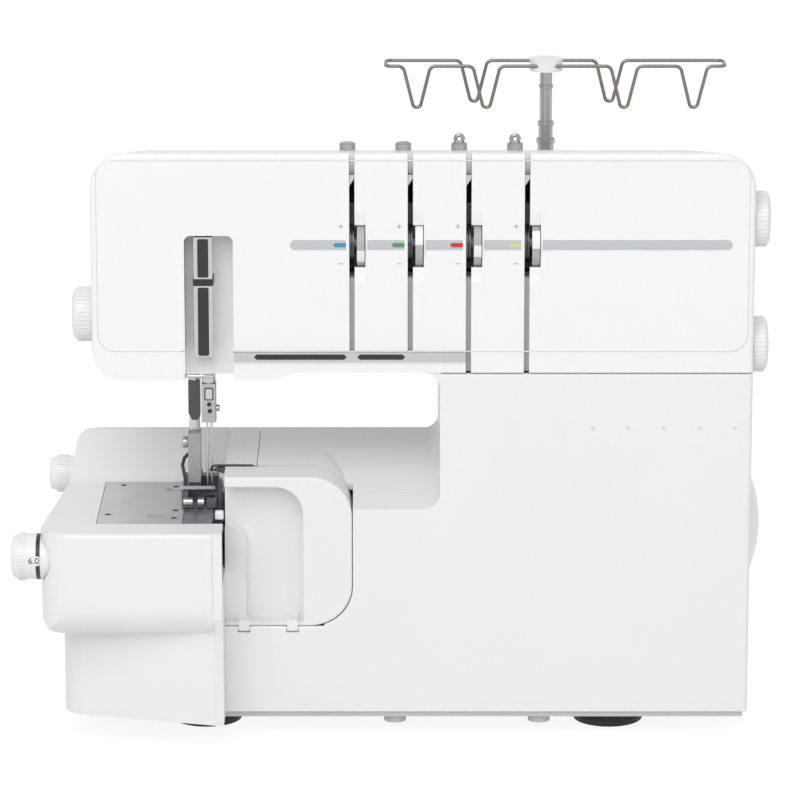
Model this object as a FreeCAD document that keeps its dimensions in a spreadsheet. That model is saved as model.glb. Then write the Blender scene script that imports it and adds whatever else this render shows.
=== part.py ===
"""Household four-thread serger (overlock machine), built as an assembly of separate pieces.

Millimetres. +Z is up, +X is to the operator's right and +Y is away from the operator.
The origin is on the table, under the middle of the machine's outline.
"""
import FreeCAD
import Part
import math
import os
import Sketcher

SIZES = {
    # Envelope: the right wall and the front face place everything else.
    "right_wall": 160.5,
    "front_face": 108.0,
    "cover_wall": 2.6,
    "seam_gap": 0.3,
    "running_gap": 0.06,
    # Lower housing: column, bed and the hump that carries on from the looper door.
    "skirt_height": 12.0,
    "column_height": 170.3,
    "column_width": 140.2,
    "column_depth": 140.0,
    "base_length": 237.5,
    "bed_height": 122.3,
    "bed_depth": 92.0,
    "bed_front_height": 107.5,
    "bed_ramp": 55.0,
    "front_cover_depth": 14.0,
    "edge_softness": 2.0,
    "rear_softness": 8.0,
    "bed_seam_inset": 14.3,
    "dimple_radius": 0.9,
    "dimple_depth": 0.8,
    "dimple_pitch": 16.0,
    "dimple_inset": 7.6,
    "dimple_height": 145.0,
    # Looper door in the front of the bed.
    "door_width": 58.0,
    "door_bottom": 52.4,
    "door_corner": 19.0,
    "door_reach": 19.5,
    "door_slit": 3.2,
    "pocket_width": 35.6,
    "pocket_top": 118.0,
    "pocket_depth": 11.0,
    "pocket_corner": 13.0,
    "pocket_ridge_width": 9.5,
    "pocket_ridge_top": 97.0,
    "pocket_ridge_step": 5.0,
    "pocket_sill": 1.4,
    "hinge_pin_radius": 0.7,
    "hinge_knuckle_length": 5.0,
    "hinge_inset": 6.0,
    # Upper housing: arm and head.
    "parting_line": 0.6,
    "arm_length": 296.0,
    "arm_depth": 100.0,
    "arm_top": 271.0,
    "arm_drop": 20.0,
    "arm_corner": 16.0,
    "arm_split": 40.0,
    "head_drop": 3.6,
    "head_width": 80.0,
    "head_ramp": 12.0,
    "head_corner": 14.0,
    # Face panels and the thread slots between them.
    "panel_margin": 2.6,
    "panel_bottom": 180.4,
    "panel_top": 267.6,
    "panel_thickness": 1.6,
    "panel_corner": 8.0,
    "panel_seam": 0.35,
    "slot_offset": 179.6,
    "slot_pitch": 26.0,
    "slot_width": 2.4,
    "slot_reach": 9.0,
    "channel_width": 4.6,
    "channel_thickness": 1.5,
    "channel_gap_bottom": 216.5,
    "channel_gap_top": 261.0,
    "tip_height": 5.0,
    # Tension units behind the slots.
    "tension_height": 228.5,
    "tension_setback": 9.6,
    "tension_wheel_radius": 11.2,
    "tension_wheel_width": 3.3,
    "tension_wheel_offset": 2.3,
    "tension_window": 19.2,
    "tension_window_side": 0.4,
    "tension_post_radius": 2.2,
    "tension_disc_radius": 8.6,
    "tension_disc_thickness": 0.7,
    "tension_disc_gap": 0.4,
    "tension_ear_offset": 5.4,
    "tension_ear_thickness": 2.4,
    "tension_ear_height": 12.0,
    "tension_plate_setback": 24.0,
    "tension_plate_thickness": 2.0,
    "tension_plate_height": 30.0,
    "scoop_radius": 60.0,
    "scoop_depth": 2.2,
    # Thread guides.
    "rail_height": 4.0,
    "rail_depth": 1.3,
    "recess_offset": 254.4,
    "recess_width": 21.8,
    "recess_top": 233.5,
    "recess_depth": 13.0,
    "recess_corner": 3.0,
    "guard_inset": 4.2,
    "guard_width": 8.3,
    "guard_sheet": 0.8,
    "guard_front": 1.5,
    "guard_top": 232.5,
    "guard_band_top": 213.5,
    "guard_band_bottom": 210.3,
    "guard_bottom": 177.7,
    "top_guide_offset": 182.0,
    "top_guide_pitch": 25.3,
    "top_guide_setback": 48.0,
    "top_guide_flats": 6.5,
    "top_guide_height": 4.0,
    "top_guide_pin_radius": 1.5,
    "top_guide_pin_height": 3.4,
    # Extension table that slides off to the left.
    "table_width": 82.4,
    "table_reach": 30.0,
    "table_taper": 12.0,
    "table_step_height": 54.5,
    "table_low_inset": 8.0,
    "table_low_setback": 6.0,
    "table_low_sweep": 20.0,
    "table_corner": 13.0,
    "table_belly": 15.0,
    "table_strip_width": 4.4,
    "table_strip_step": 1.0,
    "plate_height": 104.0,
    "ramp_start": 61.0,
    "ramp_length": 27.0,
    # Needle plate and stitch plate.
    "plate_thickness": 2.0,
    "plate_width": 38.4,
    "plate_front": 11.5,
    "plate_depth": 71.9,
    "stitch_plate_width": 13.2,
    "stitch_plate_depth": 58.0,
    "plate_screw_radius": 3.4,
    "plate_screw_recess": 0.3,
    "plate_screw_front": 12.9,
    "plate_screw_rear": 57.5,
    "plate_screw_inset": 6.4,
    "needle_hole_gap": 0.3,
    # Needle, presser and knife group, measured from the needle line.
    "needle_offset": 7.3,
    "needle_setback": 23.0,
    "needle_pitch": 2.0,
    "needle_radius": 0.5,
    "needle_tip": 112.0,
    "needle_bar_radius": 3.1,
    "needle_bar_top": 250.0,
    "clamp_bottom": 143.0,
    "clamp_height": 18.0,
    "clamp_width": 6.6,
    "clamp_depth": 8.0,
    "collar_radius": 5.0,
    "collar_height": 7.0,
    "rocker_setback": 63.0,
    "rocker_height": 205.0,
    "rocker_radius": 4.0,
    "rocker_hub_radius": 6.4,
    "rocker_length": 111.0,
    "lever_width": 5.0,
    "lever_gap": 1.6,
    "lever_tip_height": 6.0,
    "presser_offset": 6.9,
    "presser_setback": 7.0,
    "presser_bar_radius": 2.5,
    "presser_bar_top": 238.0,
    "ankle_top": 137.0,
    "ankle_width": 5.6,
    "ankle_depth": 7.0,
    "ankle_bottom": 114.0,
    "foot_width": 15.8,
    "foot_front": 9.5,
    "foot_length": 33.0,
    "foot_sole": 3.0,
    "foot_lift": 0.4,
    "foot_wall_height": 8.0,
    "foot_slot_width": 4.6,
    "lifter_height": 186.0,
    "lifter_length": 30.0,
    "lifter_thickness": 5.0,
    "lifter_pin_radius": 2.5,
    "knife_thickness": 1.6,
    "knife_front": 10.5,
    "knife_length": 7.0,
    "knife_clearance": 0.3,
    "lower_knife_bottom": 82.0,
    "upper_knife_top": 117.0,
    "knife_pivot_height": 77.0,
    "knife_pivot_radius": 3.5,
    "knife_arm_height": 8.0,
    "feed_width": 5.0,
    "feed_length": 18.0,
    "feed_height": 12.0,
    "feed_clearance": 2.2,
    "feed_bar_height": 3.0,
    "feed_bar_drop": 7.0,
    # Loopers.
    "looper_thickness": 2.0,
    "upper_looper_height": 120.3,
    "upper_looper_tip": 0.8,
    "upper_looper_reach": 24.0,
    "upper_looper_bar": 3.0,
    "upper_looper_foot": 78.0,
    "looper_rod_radius": 1.5,
    "looper_rod_length": 34.0,
    "looper_rod_slant": 41.4,
    "looper_guide_height": 15.0,
    "looper_guide_width": 4.2,
    "lower_looper_pivot_height": 62.0,
    "lower_looper_pivot_offset": 22.0,
    "lower_looper_pivot_radius": 3.5,
    "lower_looper_top": 95.0,
    "lower_looper_bar": 4.0,
    "looper_shaft_length": 40.0,
    # Frame casting.
    "frame_floor": 24.0,
    "frame_plate": 8.0,
    "frame_web": 10.0,
    "frame_spine_setback": 76.0,
    "frame_spine_bottom": 184.0,
    "frame_spine_height": 46.0,
    "guide_clearance": 18.0,
    "guide_height": 12.0,
    "low_guide_height": 7.3,
    "motor_seat_height": 38.0,
    # Drive.
    "shaft_setback": 68.0,
    "shaft_height": 84.0,
    "shaft_radius": 5.0,
    "shaft_length": 190.0,
    "wheel_radius": 34.0,
    "wheel_gap": 1.0,
    "wheel_crown": 57.0,
    "wheel_apex": 9.0,
    "wheel_depth": 10.0,
    "pulley_radius": 22.0,
    "pulley_width": 9.0,
    "motor_radius": 25.0,
    "motor_post_gap": 4.2,
    "motor_setback": 100.0,
    "motor_height": 58.0,
    "motor_pulley_radius": 8.0,
    "motor_shaft_radius": 3.0,
    "belt_thickness": 2.0,
    # Dials.
    "dial_shaft_radius": 3.0,
    "dial_rim": 1.6,
    "cutting_dial_radius": 10.8,
    "cutting_dial_reach": 13.8,
    "cutting_dial_setback": 15.4,
    "cutting_dial_height": 89.9,
    "feed_dial_radius": 8.8,
    "feed_dial_reach": 12.6,
    "feed_dial_setback": 80.1,
    "feed_dial_height": 103.1,
    "dial_hole_gap": 0.6,
    "pressure_dial_radius": 12.4,
    "pressure_dial_reach": 11.0,
    "pressure_dial_setback": 23.0,
    "pressure_dial_height": 192.8,
    "side_dial_radius": 12.25,
    "side_dial_reach": 11.7,
    "side_dial_setback": 16.0,
    "stitch_dial_height": 238.0,
    "mode_dial_height": 180.5,
    "table_dial_sink": 5.0,
    # Bottom tray and feet.
    "tray_height": 9.0,
    "foot_radius": 17.3,
    "foot_x_right": 98.3,
    "foot_x_left": 86.7,
    "foot_y_front": 78.0,
    "stud_radius": 5.0,
    "stud_height": 4.0,
    "stud_x_right": 65.9,
    # Spool stand, pole and thread antenna.
    "stand_rear": 138.0,
    "stand_left": 122.0,
    "stand_right": 150.0,
    "stand_thickness": 5.0,
    "stand_corner": 20.0,
    "spool_pin_radius": 2.5,
    "spool_pin_root_radius": 2.2,
    "spool_pin_neck": 0.6,
    "spool_pin_height": 50.0,
    "spool_pin_pitch": 64.0,
    "spool_pin_y": 92.0,
    "cone_radius": 16.0,
    "cone_tip_radius": 6.0,
    "cone_height": 28.0,
    "pole_x": 71.0,
    "pole_y": 28.0,
    "pole_base_radius": 3.8,
    "pole_middle_radius": 3.35,
    "pole_upper_radius": 2.9,
    "pole_base_top": 252.0,
    "pole_middle_top": 260.2,
    "pole_stop": 8.0,
    "hub_radius": 7.8,
    "hub_height": 5.6,
    "hub_bottom": 284.4,
    "antenna_offset": 4.2,
    "wire_radius": 0.8,
    "wire_bend": 3.0,
    "antenna_half": 79.6,
    "antenna_front": 6.0,
    "antenna_rear": 10.0,
    "dip_front_inner": 32.3,
    "dip_front_outer": 65.0,
    "dip_rear_right": 26.0,
    "dip_rear_left": 38.0,
    "dip_depth": 19.5,
    "dip_mouth": 6.4,
    "dip_floor": 1.6,
    # Power inlet, switch and light.
    "power_height": 34.0,
    "switch_height": 64.0,
    "power_setback": 125.0,
    "inlet_width": 22.0,
    "inlet_depth": 18.0,
    "socket_wall": 3.9,
    "socket_pin_radius": 1.2,
    "switch_width": 14.0,
    "switch_length": 19.0,
    "switch_swing": 1.8,
    "switch_pivot_radius": 1.5,
    "light_length": 22.0,
    "light_width": 7.0,
    "light_depth": 3.0,
}

DOC = FreeCAD.newDocument("serger_overlock_machine")
SHEET = DOC.addObject("Spreadsheet::Sheet", "sizes")
NODES = []
TOLERANCE = 1e-4
STEEP = 0.9
BEND_SHARE = 0.9
THREADS = 4
DIMPLES = 5
TEETH = 8


class Length:
    """A length that keeps its formula over the sheet together with its present value."""

    def __init__(self, formula, value):
        self.formula = formula
        self.value = value

    def __add__(self, other):
        other = length(other)
        return Length(f"({self.formula} + {other.formula})", self.value + other.value)

    def __sub__(self, other):
        other = length(other)
        return Length(f"({self.formula} - {other.formula})", self.value - other.value)

    def __mul__(self, factor):
        factor = length(factor)
        return Length(f"({self.formula} * {factor.formula})", self.value * factor.value)

    def __truediv__(self, divisor):
        divisor = length(divisor)
        return Length(f"({self.formula} / {divisor.formula})", self.value / divisor.value)

    def __neg__(self):
        return Length(f"(-1 * {self.formula})", -self.value)


def length(item):
    """The item as a Length; a plain number becomes a constant one."""
    return item if isinstance(item, Length) else Length(repr(float(item)), float(item))


class Sizes:
    """The sheet's cells by alias."""

    def __init__(self, names):
        for row, (name, value) in enumerate(names.items(), start=1):
            SHEET.set(f"A{row}", name)
            SHEET.set(f"B{row}", str(value))
            SHEET.setAlias(f"B{row}", name)
        DOC.recompute()
        for name in names:
            setattr(self, name, Length(f"sizes.{name}", float(SHEET.get(name))))


s = Sizes(SIZES)
OVER = length(5.0)


def bind(item, prop, size):
    """Tie one property of a document object to the sheet."""
    item.setExpression(prop, length(size).formula)


def place(item, x, y, z):
    for axis, size in zip("xyz", (x, y, z)):
        bind(item, f"Placement.Base.{axis}", size)


def spread(centre, half):
    """The range that reaches half to each side of a centre."""
    return (centre - half, centre + half)


def box(label, x, y, z):
    """A block given by its low and high limit on each axis."""
    item = DOC.addObject("Part::Box", label)
    for prop, (low, high) in zip(("Length", "Width", "Height"), (x, y, z)):
        bind(item, prop, length(high) - low)
    place(item, x[0], y[0], z[0])
    return item


AXIS_TURNS = {
    "X": FreeCAD.Rotation(FreeCAD.Vector(0, 1, 0), 90),
    "Y": FreeCAD.Rotation(FreeCAD.Vector(1, 0, 0), -90),
    "Z": FreeCAD.Rotation(),
}


def stand_along(item, axis, start, centre):
    """Place a piece made along Z so that it runs along the axis from start, about the centre."""
    item.Placement = FreeCAD.Placement(FreeCAD.Vector(), AXIS_TURNS[axis])
    base = list(centre)
    base.insert("XYZ".index(axis), start)
    place(item, *base)


def rod(label, axis, span, centre, radius):
    """A round bar along an axis; centre holds the other two coordinates in order."""
    item = DOC.addObject("Part::Cylinder", label)
    bind(item, "Radius", radius)
    bind(item, "Height", length(span[1]) - span[0])
    stand_along(item, axis, span[0], centre)
    return item


def taper(label, axis, span, centre, start_radius, end_radius):
    """A round bar that changes radius along its axis."""
    item = DOC.addObject("Part::Cone", label)
    bind(item, "Radius1", start_radius)
    bind(item, "Radius2", end_radius)
    bind(item, "Height", length(span[1]) - span[0])
    stand_along(item, axis, span[0], centre)
    return item


def ball(label, centre, radius):
    item = DOC.addObject("Part::Sphere", label)
    bind(item, "Radius", radius)
    place(item, *centre)
    return item


def join(label, *pieces):
    item = DOC.addObject("Part::MultiFuse", label)
    item.Shapes = list(pieces)
    item.Refine = True
    return item


def cut(label, base, *tools):
    item = DOC.addObject("Part::Cut", label)
    item.Base = base
    item.Tool = tools[0] if len(tools) == 1 else join(label + "_tools", *tools)
    item.Refine = True
    return item


def common(label, *pieces):
    item = DOC.addObject("Part::MultiCommon", label)
    item.Shapes = list(pieces)
    item.Refine = True
    return item


def group(label, *pieces):
    item = DOC.addObject("Part::Compound", label)
    item.Links = list(pieces)
    return item


def node(item, label):
    """Name a finished piece and keep it for writing out."""
    item.Label = label
    NODES.append(item)
    return item


def edge_points(edge):
    first, last = edge.ParameterRange
    return [edge.valueAt(first + (last - first) * share) for share in (0.0, 0.5, 1.0)]


def lies_on(axis, *sizes):
    """A test for edges that lie wholly in one of the planes across an axis."""
    values = [length(size).value for size in sizes]

    def test(edge):
        spots = [getattr(point, axis) for point in edge_points(edge)]
        return any(all(abs(spot - value) < TOLERANCE for spot in spots) for value in values)

    return test


def soften(body, radius, test):
    """Round the edges of a body's last feature that pass the test."""
    DOC.recompute()
    tip = body.Tip
    names = [f"Edge{index}" for index, edge in enumerate(tip.Shape.Edges, start=1) if test(edge)]
    fillet = body.newObject("PartDesign::Fillet", body.Name + "_round")
    fillet.Base = (tip, names)
    bind(fillet, "Radius", radius)
    body.Tip = fillet


SKETCH_AXES = {"XY": "xyz", "XZ": "xzy", "YZ": "yzx"}


def draw_outline(sketch, corners):
    """A closed outline of straight lines with every corner tied to the sheet."""
    spots = [FreeCAD.Vector(length(a).value, length(b).value, 0) for a, b in corners]
    count = len(corners)
    for index in range(count):
        sketch.addGeometry(Part.LineSegment(spots[index], spots[(index + 1) % count]))
    for index in range(count):
        sketch.addConstraint(Sketcher.Constraint("Coincident", index, 2, (index + 1) % count, 1))
    for index, corner in enumerate(corners):
        for kind, size in zip(("DistanceX", "DistanceY"), corner):
            size = length(size)
            ruled = Sketcher.Constraint(kind, -1, 1, index, 1, size.value)
            number = sketch.addConstraint(ruled)
            sketch.setExpression(f"Constraints[{number}]", size.formula)


def prism(label, plane, corners, span, rounds=None):
    """An outline carried along the plane's normal; rounds maps a corner's number to its radius."""
    body = DOC.addObject("PartDesign::Body", label)
    sketch = body.newObject("Sketcher::SketchObject", label + "_outline")
    datum = [item for item in body.Origin.OriginFeatures if item.Role == plane + "_Plane"][0]
    sketch.AttachmentSupport = (datum, "")
    sketch.MapMode = "FlatFace"
    draw_outline(sketch, corners)
    pad = body.newObject("PartDesign::Pad", label + "_pad")
    pad.Profile = sketch
    pad.Reversed = plane == "XZ"
    bind(pad, "Length", length(span[1]) - span[0])
    body.Tip = pad
    across, upward, along = SKETCH_AXES[plane]
    bind(body, f"Placement.Base.{along}", span[0])
    for index, radius in (rounds or {}).items():
        on_first = lies_on(across, corners[index][0])
        on_second = lies_on(upward, corners[index][1])
        soften(body, radius, lambda edge: on_first(edge) and on_second(edge))
    return body


RIGHT = s.right_wall
FRONT = -s.front_face
HEAD = RIGHT - s.arm_length
COLUMN = RIGHT - s.column_width
BASE = RIGHT - s.base_length
BED_REAR = FRONT + s.bed_depth
COLUMN_REAR = FRONT + s.column_depth
ARM_BOTTOM = s.column_height + s.parting_line
ARM_REAR = FRONT + s.arm_depth
DOOR_RIGHT = BASE + s.door_width
DOOR_BACK = FRONT + s.door_reach
BAY_BACK = DOOR_BACK + s.door_slit
BED_SEAM = BASE + s.bed_seam_inset
HINGE_Y = FRONT + s.cover_wall / 2
HINGE_Z = s.door_bottom - s.cover_wall / 2
NEEDLE_X = BASE - s.needle_offset
NEEDLE_Y = FRONT + s.needle_setback
PRESSER_X = NEEDLE_X - s.presser_offset
PRESSER_Y = NEEDLE_Y + s.presser_setback
PLATE_BOTTOM = s.plate_height - s.plate_thickness
PLATE_FRONT = FRONT - s.plate_front
PLATE_REAR = PLATE_FRONT + s.plate_depth
STITCH_RIGHT = BASE - s.needle_offset + s.needle_pitch
STITCH_LEFT = STITCH_RIGHT - s.stitch_plate_width
PLATE_LEFT = STITCH_LEFT - s.plate_width
TABLE_RIGHT = BASE - s.seam_gap
TABLE_LEFT = TABLE_RIGHT - s.table_width
TABLE_FRONT = FRONT - s.table_reach
SHAFT_Y = FRONT + s.shaft_setback
LIFTER_X = PRESSER_X - s.frame_web - s.lifter_thickness / 2 - s.seam_gap
SPINE_FRONT = FRONT + s.frame_spine_setback
SPINE_REAR = SPINE_FRONT + s.frame_web
ROCKER_Y = FRONT + s.rocker_setback
SLOTS = [RIGHT - s.slot_offset + s.slot_pitch * index for index in range(THREADS)]
TENSION_Y = FRONT + s.tension_setback
STAND_TOP = s.column_height + s.stand_thickness
NOTHING = length(0.0)


def lower_solid(label, inset, left, floor):
    """Column, ramped bed and door hump in one block, drawn in from the outside by inset."""
    front = FRONT + inset
    bed_rear = BED_REAR - inset
    bed_top = s.bed_height - inset
    bed = prism(
        label + "_bed",
        "YZ",
        [
            (front, floor),
            (bed_rear, floor),
            (bed_rear, bed_top),
            (FRONT + s.bed_ramp, bed_top),
            (front, s.bed_front_height - inset),
        ],
        (left, COLUMN + s.arm_corner),
    )
    hump = prism(
        label + "_hump",
        "XZ",
        [(left, floor), (DOOR_RIGHT - inset, floor), (DOOR_RIGHT - inset, bed_top), (left, bed_top)],
        (front, bed_rear),
        {2: s.door_corner - inset},
    )
    column = prism(
        label + "_column",
        "XY",
        [
            (COLUMN + inset, front),
            (RIGHT - inset, front),
            (RIGHT - inset, COLUMN_REAR - inset),
            (COLUMN + inset, COLUMN_REAR - inset),
        ],
        (floor, s.column_height - inset),
        {1: s.edge_softness, 2: s.rear_softness, 3: s.rear_softness},
    )
    return join(label, bed, hump, column)


def lower_shell():
    """The lower housing's wall, open underneath, to the left and up into the arm."""
    outside = lower_solid("lower_outside", NOTHING, BASE, s.skirt_height)
    inside = lower_solid("lower_inside", s.cover_wall, BASE - OVER, s.skirt_height - OVER)
    throat = box(
        "lower_throat",
        (COLUMN + s.cover_wall, RIGHT - s.cover_wall),
        (FRONT + s.cover_wall, ARM_REAR - s.cover_wall),
        (s.bed_height, s.column_height + OVER),
    )
    return cut("lower_shell", outside, inside, throat)


def door_bay(label, back):
    """The opening that the looper door fills."""
    return prism(
        label,
        "XZ",
        [
            (BASE - OVER, s.door_bottom),
            (DOOR_RIGHT, s.door_bottom),
            (DOOR_RIGHT, s.bed_height + OVER),
            (BASE - OVER, s.bed_height + OVER),
        ],
        (FRONT - OVER, back),
        {1: s.door_corner},
    )


def hinge_places():
    """Left ends of the door's two hinge lugs."""
    straight_end = DOOR_RIGHT - s.door_corner
    return [BASE + s.hinge_inset, straight_end - s.hinge_inset - s.hinge_knuckle_length]


def base_front_cover(shell):
    """Front panel of the column and base, with the rounded hinge edge under the door."""
    region = box(
        "front_region",
        (BASE, RIGHT + OVER),
        (FRONT - OVER, FRONT + s.front_cover_depth),
        (s.skirt_height - OVER, s.column_height + OVER),
    )
    straight = (BASE, DOOR_RIGHT - s.door_corner + s.hinge_inset)
    wall_range = (FRONT - OVER, FRONT + s.cover_wall + s.seam_gap)
    square_edge = box(
        "hinge_square_edge",
        (BASE - OVER, straight[1]),
        wall_range,
        (HINGE_Z, s.door_bottom + OVER),
    )
    round_edge = rod("hinge_round_edge", "X", straight, (HINGE_Y, HINGE_Z), s.cover_wall / 2)
    panel = cut(
        "front_panel_raw",
        common("front_panel_region", shell, region),
        door_bay("front_bay", BAY_BACK),
        square_edge,
    )
    panel = join("front_panel_edged", panel, round_edge)
    tools = []
    for index, left in enumerate(hinge_places()):
        notch_low = HINGE_Z - s.cover_wall / 2 - s.seam_gap
        notch_span = (left - s.seam_gap, left + s.hinge_knuckle_length + s.seam_gap)
        tools.append(
            box(f"hinge_notch_{index}", notch_span, wall_range, (notch_low, s.door_bottom + OVER)),
        )
        bore_reach = s.hinge_inset / 2 + s.seam_gap
        bore_span = (left - bore_reach, left + s.hinge_knuckle_length + bore_reach)
        bore_radius = s.hinge_pin_radius + s.running_gap
        tools.append(rod(f"hinge_bore_{index}", "X", bore_span, (HINGE_Y, HINGE_Z), bore_radius))
    for index in range(DIMPLES):
        x = RIGHT - s.dimple_inset - s.dimple_pitch * index
        span = (FRONT - OVER, FRONT + s.dimple_depth)
        tools.append(rod(f"dimple_{index}", "Y", span, (x, s.dimple_height), s.dimple_radius))
    node(cut("base_front_cover", panel, *tools), "base_front_cover")


def base_rear_cover(shell):
    """Bed top, column sides and rear in one moulding."""
    region = box(
        "rear_region",
        (BED_SEAM, RIGHT + OVER),
        (FRONT + s.front_cover_depth + s.seam_gap, COLUMN_REAR + OVER),
        (s.skirt_height - OVER, s.column_height + OVER),
    )
    wheel_hole = rod(
        "wheel_hole",
        "X",
        (RIGHT - s.wheel_depth, RIGHT + OVER),
        (SHAFT_Y, s.shaft_height),
        s.wheel_radius + s.wheel_gap,
    )
    power_hole = box("power_hole", (RIGHT - s.inlet_depth, RIGHT + OVER), *power_limits())
    moulding = common("rear_moulding", shell, region)
    bay = door_bay("rear_bay", BAY_BACK)
    node(cut("base_rear_cover", moulding, bay, wheel_hole, power_hole), "base_rear_cover")


def bed_end_cover(shell):
    """Small cap between the bed seam and the needle area."""
    region = box(
        "bed_end_region",
        (BASE, BED_SEAM - s.seam_gap),
        (BAY_BACK, BED_REAR),
        (s.skirt_height, s.bed_height + OVER),
    )
    cap = common("bed_end_cap", shell, region)
    skirt = box(
        "bed_end_skirt",
        (BASE, BASE + s.cover_wall),
        (BAY_BACK, BED_REAR),
        (s.plate_height, s.bed_height),
    )
    lip = box(
        "bed_end_lip",
        (BASE + s.cover_wall, BED_SEAM + s.cover_wall),
        (BED_REAR - s.cover_wall - s.cover_wall, BED_REAR - s.cover_wall),
        (s.plate_height, s.bed_height - s.cover_wall),
    )
    node(join("bed_end_cover", cap, skirt, lip), "bed_end_cover")


def looper_cover():
    """Looper door: front shield with a thumb pocket, top lip and two hinge lugs."""
    right = DOOR_RIGHT - s.seam_gap
    bottom = s.door_bottom + s.seam_gap

    def shield(label, inset, span):
        return prism(
            label,
            "XZ",
            [
                (BASE + inset, bottom + inset),
                (right - inset, bottom + inset),
                (right - inset, s.bed_height - inset),
                (BASE + inset, s.bed_height - inset),
            ],
            span,
            {1: s.door_corner - inset, 2: s.door_corner - inset},
        )

    def pocket(label, grow, span):
        low = bottom + s.pocket_sill - grow
        return prism(
            label,
            "XZ",
            [
                (BASE - OVER, low),
                (BASE + s.pocket_width + grow, low),
                (BASE + s.pocket_width + grow, s.pocket_top + grow),
                (BASE - OVER, s.pocket_top + grow),
            ],
            span,
            {2: s.pocket_corner + grow},
        )

    outer = shield("door_outer", NOTHING, (FRONT, DOOR_BACK))
    soften(outer, s.edge_softness / 2, lies_on("y", 0.0))
    hollow = shield("door_hollow", s.cover_wall, (FRONT + s.cover_wall, DOOR_BACK + OVER))
    pocket_floor = FRONT + s.pocket_depth
    lining = pocket("door_pocket_lining", s.cover_wall, (FRONT, pocket_floor + s.cover_wall))
    lining = common("door_lining", outer, lining)
    scoop = pocket("door_pocket_scoop", NOTHING, (FRONT - OVER, pocket_floor))
    ridge = prism(
        "door_pocket_ridge",
        "XZ",
        [
            (BASE, bottom),
            (BASE + s.pocket_ridge_width, bottom),
            (BASE + s.pocket_ridge_width, s.pocket_ridge_top),
            (BASE, s.pocket_ridge_top),
        ],
        (FRONT + s.pocket_ridge_step, pocket_floor),
        {2: s.pocket_ridge_width / 2},
    )
    shell = join("door_walls", cut("door_shell", outer, hollow), lining)
    door = join("door_ridged", cut("door_scooped", shell, scoop), ridge)
    radius = s.cover_wall / 2
    for index, left in enumerate(hinge_places()):
        span = (left, left + s.hinge_knuckle_length)
        pin_span = (left - s.hinge_inset / 2, left + s.hinge_knuckle_length + s.hinge_inset / 2)
        knuckle = rod(f"door_knuckle_{index}", "X", span, (HINGE_Y, HINGE_Z), radius)
        web_top = bottom + s.cover_wall
        web = box(
            f"door_web_{index}",
            span,
            (FRONT + s.cover_wall / 4, FRONT + s.pocket_depth),
            (bottom, web_top),
        )
        neck = box(f"door_neck_{index}", span, spread(HINGE_Y, radius), (HINGE_Z, bottom + s.cover_wall))
        pin = rod(f"door_pin_{index}", "X", pin_span, (HINGE_Y, HINGE_Z), s.hinge_pin_radius)
        door = join(f"door_hinged_{index}", door, knuckle, web, neck, pin)
    node(door, "looper_cover")


def arm_solid(label, inset):
    """Arm and head: side outline along the arm, trimmed by the underside outline."""
    front = FRONT + inset
    rear = ARM_REAR - inset
    fall = s.arm_drop / s.arm_depth
    low = ARM_BOTTOM - s.head_drop - OVER
    top = s.arm_top - inset - fall * inset
    profile = prism(
        label + "_profile",
        "YZ",
        [(front, low), (rear, low), (rear, top - fall * (rear - front)), (front, top)],
        (HEAD + inset, RIGHT - inset),
        {2: s.rear_softness},
    )
    length_inside = (RIGHT - HEAD - inset * 2).value

    def top_end(edge):
        middle = edge_points(edge)[1]
        at_end = lies_on("x", 0.0, length_inside)(edge)
        flat = abs(edge.tangentAt(edge.ParameterRange[0]).z) < STEEP
        return at_end and flat and middle.z > ARM_BOTTOM.value

    soften(profile, s.arm_corner - inset, top_end)
    soften(profile, s.edge_softness, lies_on("y", front.value))
    head_bottom = ARM_BOTTOM - s.head_drop + inset
    head_right = HEAD + s.head_width
    underside = prism(
        label + "_underside",
        "XZ",
        [
            (HEAD + inset, head_bottom),
            (head_right, head_bottom),
            (head_right + s.head_ramp, ARM_BOTTOM + inset),
            (RIGHT - inset, ARM_BOTTOM + inset),
            (RIGHT - inset, s.arm_top + OVER),
            (HEAD + inset, s.arm_top + OVER),
        ],
        (front - OVER, rear + OVER),
        {0: s.head_corner - inset},
    )
    return common(label, profile, underside)


def panel_outline(label, gap, span):
    return prism(
        label,
        "XZ",
        [
            (HEAD + s.panel_margin + gap, s.panel_bottom + gap),
            (RIGHT - s.panel_margin - gap, s.panel_bottom + gap),
            (RIGHT - s.panel_margin - gap, s.panel_top - gap),
            (HEAD + s.panel_margin + gap, s.panel_top - gap),
        ],
        span,
        {corner: s.panel_corner - gap for corner in range(4)},
    )


RECESS_LEFT = RIGHT - s.recess_offset
RECESS_RIGHT = RECESS_LEFT + s.recess_width
RECESS_BACK = FRONT + s.recess_depth


def recess(label, grow, span):
    """The upright recess in the head, open at the bottom."""
    return prism(
        label,
        "XZ",
        [
            (RECESS_LEFT - grow, ARM_BOTTOM - s.head_drop - OVER),
            (RECESS_RIGHT + grow, ARM_BOTTOM - s.head_drop - OVER),
            (RECESS_RIGHT + grow, s.recess_top + grow),
            (RECESS_LEFT - grow, s.recess_top + grow),
        ],
        span,
        {2: s.recess_corner + grow, 3: s.recess_corner + grow},
    )


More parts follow.
